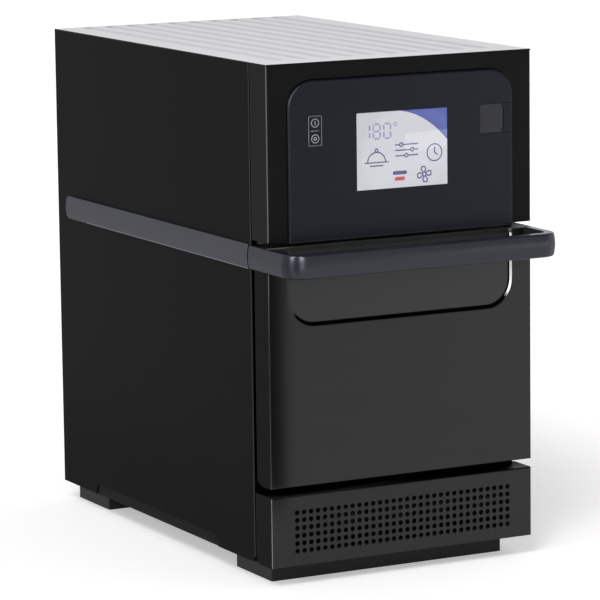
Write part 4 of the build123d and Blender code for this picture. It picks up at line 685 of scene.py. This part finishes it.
def rounded_box(u, v, width, height, radius):
    """The points of a rounded rectangle about its centre, in millimetres."""
    points = []
    for corner, (side_u, side_v) in enumerate(((1, 1), (-1, 1), (-1, -1), (1, -1))):
        corner_u = u + side_u * (width / 2 - radius)
        corner_v = v + side_v * (height / 2 - radius)
        points += outline_points((corner_u, corner_v, radius, corner * 90, corner * 90 + 90), 6)
    return points


def add_field(bm, place, points, thickness):
    """A thin filled shape on a face that looks to the front."""
    front_ring = [place(u, v, thickness) for u, v in points]
    back_ring = [place(u, v, 0) for u, v in points]
    loops = add_rings(bm, [front_ring, back_ring])
    bm.faces.new(loops[0])
    bm.faces.new(list(reversed(loops[1])))


def add_line(bm, place, points, width, thickness, closed=False):
    """A thin line of even width along points on a face that looks to the front."""
    rings = []
    count = len(points)
    for index, (u, v) in enumerate(points):
        before = points[(index - 1) % count] if closed or index else points[0]
        after = points[(index + 1) % count] if closed or index < count - 1 else points[-1]
        back = Vector((u - before[0], v - before[1]))
        ahead = Vector((after[0] - u, after[1] - v))
        run = (back.normalized() + ahead.normalized()).normalized()
        lean = max(0.5, abs(run.dot((ahead if ahead.length else back).normalized())))
        offset = Vector((-run.y, run.x)) * (width / 2 / lean)
        left = (u + offset.x, v + offset.y)
        right = (u - offset.x, v - offset.y)
        rings.append([place(*left, 0), place(*right, 0), place(*right, thickness), place(*left, thickness)])
    loops = add_rings(bm, rings, closed=closed)
    if not closed:
        bm.faces.new(list(reversed(loops[0])))
        bm.faces.new(loops[-1])


glass_low, glass_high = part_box("display_glass")
screen_width = (glass_high.x - glass_low.x) / mm
screen_height = (glass_high.z - glass_low.z) / mm
screen_middle = (glass_low + glass_high) / 2
glass_rear_gap = 0.35
glass_edge = 0.4
bm = bmesh.new()
bmesh.ops.create_cube(bm, size=1)
glass_deep = glass_high.y - glass_rear_gap * mm - glass_low.y
bmesh.ops.scale(bm, vec=(screen_width * mm, glass_deep, screen_height * mm), verts=bm.verts)
bmesh.ops.translate(bm, vec=(screen_middle.x, glass_low.y + glass_deep / 2, screen_middle.z), verts=bm.verts)
bmesh.ops.bevel(bm, geom=bm.edges, offset=glass_edge * mm, segments=3, profile=0.5, affect="EDGES")
float_glass, tree, shader = new_surface("coated_float_glass", IOR=1.52, Roughness=0.03,
                                        Transmission_Weight=1.0, Specular_IOR_Level=0.03)
shader.inputs["Base Color"].default_value = tone("#fbfdfd")
relief(tree, shader, spacing=40, depth=0.004)
glass = add_piece("display_cover_glass", bm, float_glass, "casing")
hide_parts("display_glass")


def lit(name, light, dark, power=1.0):
    """A colour of the lit panel, with the slight drift of its backlight."""
    material, tree, shader = new_surface(name, Roughness=0.5, Emission_Strength=power)
    shader.inputs["Base Color"].default_value = tone("#08080a")
    mottle(tree, shader, light, dark, 70, target="Emission Color")
    return material


layer_depth = 0.05


def on_screen(layer):
    """Places points of the start page, in millimetres from the middle of the screen."""
    def place(u, v, height):
        return Vector((screen_middle.x + u * mm, glass_high.y - (layer * layer_depth + height) * mm,
                       screen_middle.z + v * mm))
    return place


half_u = screen_width / 2
half_v = screen_height / 2
icon_line = 1.5
page_radius = 0.6
page = bmesh.new()
add_field(page, on_screen(0.2), rounded_box(0, 0, screen_width, screen_height, page_radius), layer_depth)
add_piece("screen_page", page, lit("lit_off_white", "#d3d1d9", "#cfcdd5"), "casing")

blue = bmesh.new()
sweep_start = -14
sweep_drop = 38
sweep_bend = 2.2
sweep_steps = 30
sweep_span = half_u - sweep_start
sweep = [(sweep_start + sweep_span * step / sweep_steps,
          half_v - sweep_drop * (step / sweep_steps) ** sweep_bend) for step in range(sweep_steps + 1)]
add_field(blue, on_screen(1.6), [*sweep, (half_u, half_v)], layer_depth)
add_piece("screen_blue_corner", blue, lit("lit_royal_blue", "#4656a8", "#404fa2"), "casing")

line_place = on_screen(3)


def add_stroke(bm, points, width=icon_line, closed=False):
    """A line of an icon on the start page."""
    add_line(bm, line_place, points, width, layer_depth, closed=closed)


navy = bmesh.new()
# A dish under a domed cover with a knob.
cover_u = -34
cover_v = -14
cover_radius = 12
cover_knob_radius = 1.9
dish_reach = 16
foot_reach = 9
foot_v = cover_v - 4
add_stroke(navy, outline_points((cover_u, cover_v, cover_radius, 0, 180)))
add_stroke(navy, [(cover_u - dish_reach, cover_v), (cover_u + dish_reach, cover_v)])
add_stroke(navy, [(cover_u - foot_reach, foot_v), (cover_u + foot_reach, foot_v)])
add_stroke(navy, outline_points((cover_u, cover_v + cover_radius + 2, cover_knob_radius)), closed=True)
# Three sliders with their knobs.
slider_left = -9
slider_right = 22
slider_top = 5
slider_step = 6.5
knob_radius = 2.1
knob_places = (-1, 14, 6)
for row, knob in enumerate(knob_places):
    slider_v = slider_top - slider_step * row
    add_stroke(navy, [(slider_left, slider_v), (knob - knob_radius, slider_v)])
    add_stroke(navy, [(knob + knob_radius, slider_v), (slider_right, slider_v)])
    add_stroke(navy, outline_points((knob, slider_v, knob_radius), 20), closed=True)
# A clock.
clock_u = 44
clock_v = -7
clock_radius = 10
long_hand = (clock_u, clock_v + 7)
short_hand = (clock_u + 4.5, clock_v - 3)
add_stroke(navy, outline_points((clock_u, clock_v, clock_radius)), closed=True)
add_stroke(navy, [long_hand, (clock_u, clock_v), short_hand])
# A fan with four blades, each given by reaches and turns from the hub.
fan_u = 30
fan_v = -32
hub_radius = 2.4
blade_outline = ((hub_radius, 0), (6, -0.35), (9, -0.1), (9.6, 0.35), (7.5, 0.6), (hub_radius, 0.7))
add_stroke(navy, outline_points((fan_u, fan_v, hub_radius), 24), closed=True)
for blade in range(4):
    angle = pi / 2 * blade
    add_stroke(navy, [(fan_u + reach * cos(angle + bend), fan_v + reach * sin(angle + bend))
                      for reach, bend in blade_outline])
# Two bars, the lower one red.
bar_u = -3
bar_thickness = 4.4
bar_radius = 2
navy_bar_v = -28
navy_bar_width = 19
red_bar_v = -35
red_bar_width = 14
add_field(navy, line_place, rounded_box(bar_u, navy_bar_v, navy_bar_width, bar_thickness, bar_radius),
          layer_depth)
add_piece("screen_icons", navy, lit("lit_navy", "#323c78", "#2f3872"), "casing")

red = bmesh.new()
add_field(red, line_place, rounded_box(bar_u, red_bar_v, red_bar_width, bar_thickness, bar_radius),
          layer_depth)
add_piece("screen_red_mark", red, lit("lit_red", "#c8384a", "#c03446"), "casing")

# A temperature in digits of seven segments, with a degree ring.
segments = {"0": "abcdef", "1": "bc", "8": "abcdefg"}
lavender = bmesh.new()
digit_height = 17
digit_width = 9
digit_gap = 5
digit_line = 2.4
digit_left = -52
digit_low = 14
degree_line = 1.2
degree_ring = (-8.5, 29.5, 2.1)
for column, digit in enumerate("180"):
    left = digit_left + column * (digit_width + digit_gap)
    right = left + digit_width
    top = digit_low + digit_height
    middle = digit_low + digit_height / 2
    ends = {"a": ((left, top), (right, top)), "b": ((right, top), (right, middle)),
            "c": ((right, middle), (right, digit_low)), "d": ((right, digit_low), (left, digit_low)),
            "e": ((left, digit_low), (left, middle)), "f": ((left, middle), (left, top)),
            "g": ((left, middle), (right, middle))}
    for key in segments[digit]:
        (u0, v0), (u1, v1) = ends[key]
        run = Vector((u1 - u0, v1 - v0)).normalized() * digit_line * 0.5
        add_stroke(lavender, [(u0 + run.x, v0 + run.y), (u1 - run.x, v1 - run.y)], digit_line)
add_stroke(lavender, outline_points(degree_ring, 24), degree_line, closed=True)
add_piece("screen_digits", lavender, lit("lit_lavender", "#999cc0", "#9396ba"), "casing")

# Display module
# Behind the page, a pressed tray with a moulded back light frame. Both are matt black, so that
# nothing of them shows round the page.
dress(black_nylon, "display_module")

# Print on the power rocker
# Screen printed ink in two greys: a thin frame with a bar across it, and above and below the bar
# an I in a ring and a dot in a ring, both a shade lighter.
light_ink, tree, shader = new_surface("light_grey_screen_ink", Roughness=0.5, IOR=1.5)
mottle(tree, shader, "#9c9ca0", "#929296", 6)
dark_ink, tree, shader = new_surface("mid_grey_screen_ink", Roughness=0.5, IOR=1.5)
mottle(tree, shader, "#77787c", "#6e6f73", 6)
rocker_low, rocker_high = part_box("power_rocker")
rocker_width = (rocker_high.x - rocker_low.x) / mm
rocker_height = (rocker_high.z - rocker_low.z) / mm
ink_thickness = 0.04
ink_line = 0.8
frame_width = rocker_width - 1.3
frame_height = rocker_height - 1.1
frame_radius = 1.2
bar_reach = 5.7
symbol_rise = 9.25
symbol_radius = 4.75
stroke_width = 1.3
stroke_height = 5.2
stroke_radius = 0.5
dot_radius = 1.6
ring_line = ink_line * 1.25
dot_line = ink_line * 1.4


def on_rocker(u, v, height):
    """Places points of the print, in millimetres from the middle of the rocker."""
    return Vector(((rocker_low.x + rocker_high.x) / 2 + u * mm,
                   rocker_low.y + (ink_thickness / 2 - height) * mm,
                   (rocker_low.z + rocker_high.z) / 2 + v * mm))


border = bmesh.new()
add_line(border, on_rocker, rounded_box(0, 0, frame_width, frame_height, frame_radius), ink_line,
         ink_thickness, closed=True)
add_line(border, on_rocker, [(-bar_reach, 0), (bar_reach, 0)], ink_line, ink_thickness)
add_piece("rocker_border", border, dark_ink, "power_rocker")
symbols = bmesh.new()
for rise in (symbol_rise, -symbol_rise):
    add_line(symbols, on_rocker, outline_points((0, rise, symbol_radius)), ring_line, ink_thickness,
             closed=True)
add_field(symbols, on_rocker, rounded_box(0, symbol_rise, stroke_width, stroke_height, stroke_radius),
          ink_thickness)
add_line(symbols, on_rocker, outline_points((0, -symbol_rise, dot_radius), 24), dot_line, ink_thickness,
         closed=True)
add_piece("power_symbols", symbols, light_ink, "power_rocker")

# Door
# A pan of black coated stainless steel, brushed across, with a pressed hand pocket. The grain pulls
# reflections up and down and shows as faint streaks, drawn here wider than they are. Painted light
# stands in for the rest: a painted highlight on the folds at the edges, on the pocket's right wall and
# as a matt warm grey line along the top edge, a lighter painted tone on the pocket, painted shade at
# the foot of the right wall and on the bottom slope, and a painted shadow in near black on the rear hem.
black_steel, tree, shader = new_brushed_metal("brushed_black_stainless", 0.75)
shader.inputs["Specular Tint"].default_value = tone("#ababab")
grain = mottle(tree, shader, "#3c3c3d", "#373737", 1.6, stretch=(50, 50, 1))
# Painted highlight: a lighter line along the folds at the door's upright edges.
base = paint_edge_highlight(tree, shader, grain, "#5c5c5e", radius=0.5, start=0.5, full=0.65)
skin_low, skin_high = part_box("door_skin")
pocket_half_width = skin_high.x - 26 * mm
pocket_top = skin_high.z - 6 * mm
pocket_bottom = skin_high.z - 98 * mm
pocket_lip = skin_low.y + 0.3 * mm
pocket_middle = skin_low.y + 1.6 * mm
pocket_floor = skin_low.y + 3 * mm
hem_shade_start = skin_low.y + 35.3 * mm
rim_low = skin_high.z - 1.1 * mm
rim_back = skin_low.y + 4.5 * mm
pocket = inside_box(tree, (-pocket_half_width, pocket_lip, pocket_bottom),
                    (pocket_half_width, pocket_floor, pocket_top))
# The pocket gets a lighter painted tone, standing in for the light it catches.
base = repaint(tree, shader, base, pocket, "#424243")
# Painted highlight on the outer part of the pocket's right wall, painted shade at its foot and on the
# pocket's bottom slope.
right_wall = facing(tree, "X", -0.1, -0.35)
wall_highlight_band = inside_box(tree, (-1, pocket_lip, 0), (1, pocket_middle, 1))
wall_shade_band = inside_box(tree, (-1, pocket_middle, 0), (1, pocket_floor, 1))
for part, code in ((add_math(tree, "MULTIPLY", right_wall, wall_highlight_band), "#b0b0b0"),
                   (add_math(tree, "MULTIPLY", right_wall, wall_shade_band), "#0c0c0c"),
                   (facing(tree, "Z", 0.22, 0.3), "#080808")):
    base = repaint(tree, shader, base, add_math(tree, "MULTIPLY", pocket, part), code)
# Painted shadow in near black on the rear hem behind the door's sides.
base = repaint(tree, shader, base, inside_box(tree, (-1, hem_shade_start, 0), (1, 0, 1)), "#030303")
# A painted highlight: a matt warm grey line along the door's top edge.
top_edge_highlight = inside_box(tree, (-1, skin_low.y - mm, rim_low), (1, rim_back, 1))
repaint(tree, shader, base, top_edge_highlight, "#54514b")
metal = add_node(tree, "ShaderNodeMath", {0: 1}, {1: top_edge_highlight}, operation="SUBTRACT")
tree.links.new(metal.outputs[0], shader.inputs["Metallic"])
brushing = relief(tree, shader, 0.9, 0.01, stretch=(70, 70, 1), edge=0.3)
vary_roughness(tree, shader, brushing, 0.3, 0.42)
dress(black_steel, "door_skin")

# Filter cover
# The same black coated sheet, punched with round holes and folded back at its edges. The folds
# carry a painted highlight as light lines, and the walls of the holes a painted shade in near black.
punched_steel, tree, shader = new_brushed_metal("punched_black_stainless", 0.75)
filter_low, filter_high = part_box("air_filter")
cover_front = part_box("filter_cover")[0].y
hole_wall = 0.2 * mm
shader.inputs["Specular Tint"].default_value = tone("#b8b8b8")
field = inside_box(tree, (filter_low.x, cover_front - mm, filter_low.z), filter_high)
walls = inside_box(tree, (filter_low.x, cover_front + hole_wall, filter_low.z), filter_high)
grain = mottle(tree, shader, "#3a3a3b", "#353535", 1.6, stretch=(50, 50, 1))
# Painted highlight on the folds, and painted shade in near black on the walls of the holes.
edge_highlighted = paint_edge_highlight(tree, shader, grain, "#8c8c8e", radius=0.5, start=0.5, full=0.65, spared=field)
repaint(tree, shader, edge_highlighted, walls, "#040404")
vary_roughness(tree, shader, relief(tree, shader, 0.9, 0.01, stretch=(70, 70, 1), edge=0.3), 0.3, 0.42)
dress(punched_steel, "filter_cover")

# Door seal
# A soft ring extruded in grey silicone rubber, pushed over the plug of the inner panel. It is matt,
# with a fine dull skin.
silicone, tree, shader = new_surface("grey_silicone_rubber", IOR=1.42, Roughness=0.6)
mottle(tree, shader, "#5c5c5c", "#505050", 8)
relief(tree, shader, 1.0, 0.03)
dress(silicone, "door_seal")

# Door handle
# A loop moulded in satin grey nylon, bolted to the door from inside. The crowned face gives soft
# bright bands at its corners, and the faces turned down carry a painted shade in near black.
handle_nylon, tree, shader = new_surface("satin_grey_nylon", Specular_IOR_Level=0.42, IOR=1.53)
shader.inputs["Specular Tint"].default_value = tone("#eff2ff")
base = mottle(tree, shader, "#20222a", "#1d1f26", 30)
# Painted shade: the faces turned down are near black.
repaint(tree, shader, base, facing(tree, "Z", -0.3, -0.6), "#040405")
vary_roughness(tree, shader, relief(tree, shader, 0.9, 0.004), 0.2, 0.26)
dress(handle_nylon, "door_handle")

# Air filter
# A black anodised aluminium frame with bars, and a pleated screen of fine blackened wire between
# it and the perforation. In the shade behind the cover both are almost black.
filter_alloy, tree, shader = new_surface("black_anodised_aluminium", Metallic=0.8)
mottle(tree, shader, "#242425", "#1c1c1d", 10)
vary_roughness(tree, shader, relief(tree, shader, 1.0, 0.02), 0.45, 0.6)
dress(filter_alloy, "air_filter")
frame_bar = 6
pleat = 5
pleat_depth = 0.9
screen_thickness = 0.25
screen_setback = 2.2
screen_left = filter_low.x + frame_bar * mm
screen_low = filter_low.z + frame_bar * mm
screen_high = filter_high.z - frame_bar * mm
screen_span = filter_high.x - filter_low.x - 2 * frame_bar * mm
columns = int(screen_span / (pleat * mm)) * 4
bm = bmesh.new()
rings = []
for column in range(columns + 1):
    x = screen_left + screen_span * column / columns
    near = filter_low.y + (screen_setback + pleat_depth * sin(pi / 2 * column)) * mm
    far = near + screen_thickness * mm
    rings.append([Vector((x, y, z)) for y, z in ((near, screen_low), (near, screen_high),
                                                 (far, screen_high), (far, screen_low))])
loops = add_rings(bm, rings)
bm.faces.new(list(reversed(loops[0])))
bm.faces.new(loops[-1])
wire_screen, tree, shader = new_surface("fine_wire_screen", Metallic=1.0, Roughness=0.6)
mottle(tree, shader, "#1c1c1d", "#0c0c0d", 0.8)
relief(tree, shader, 0.8, 0.15)
add_piece("filter_wire_screen", bm, wire_screen, "filter_cover")
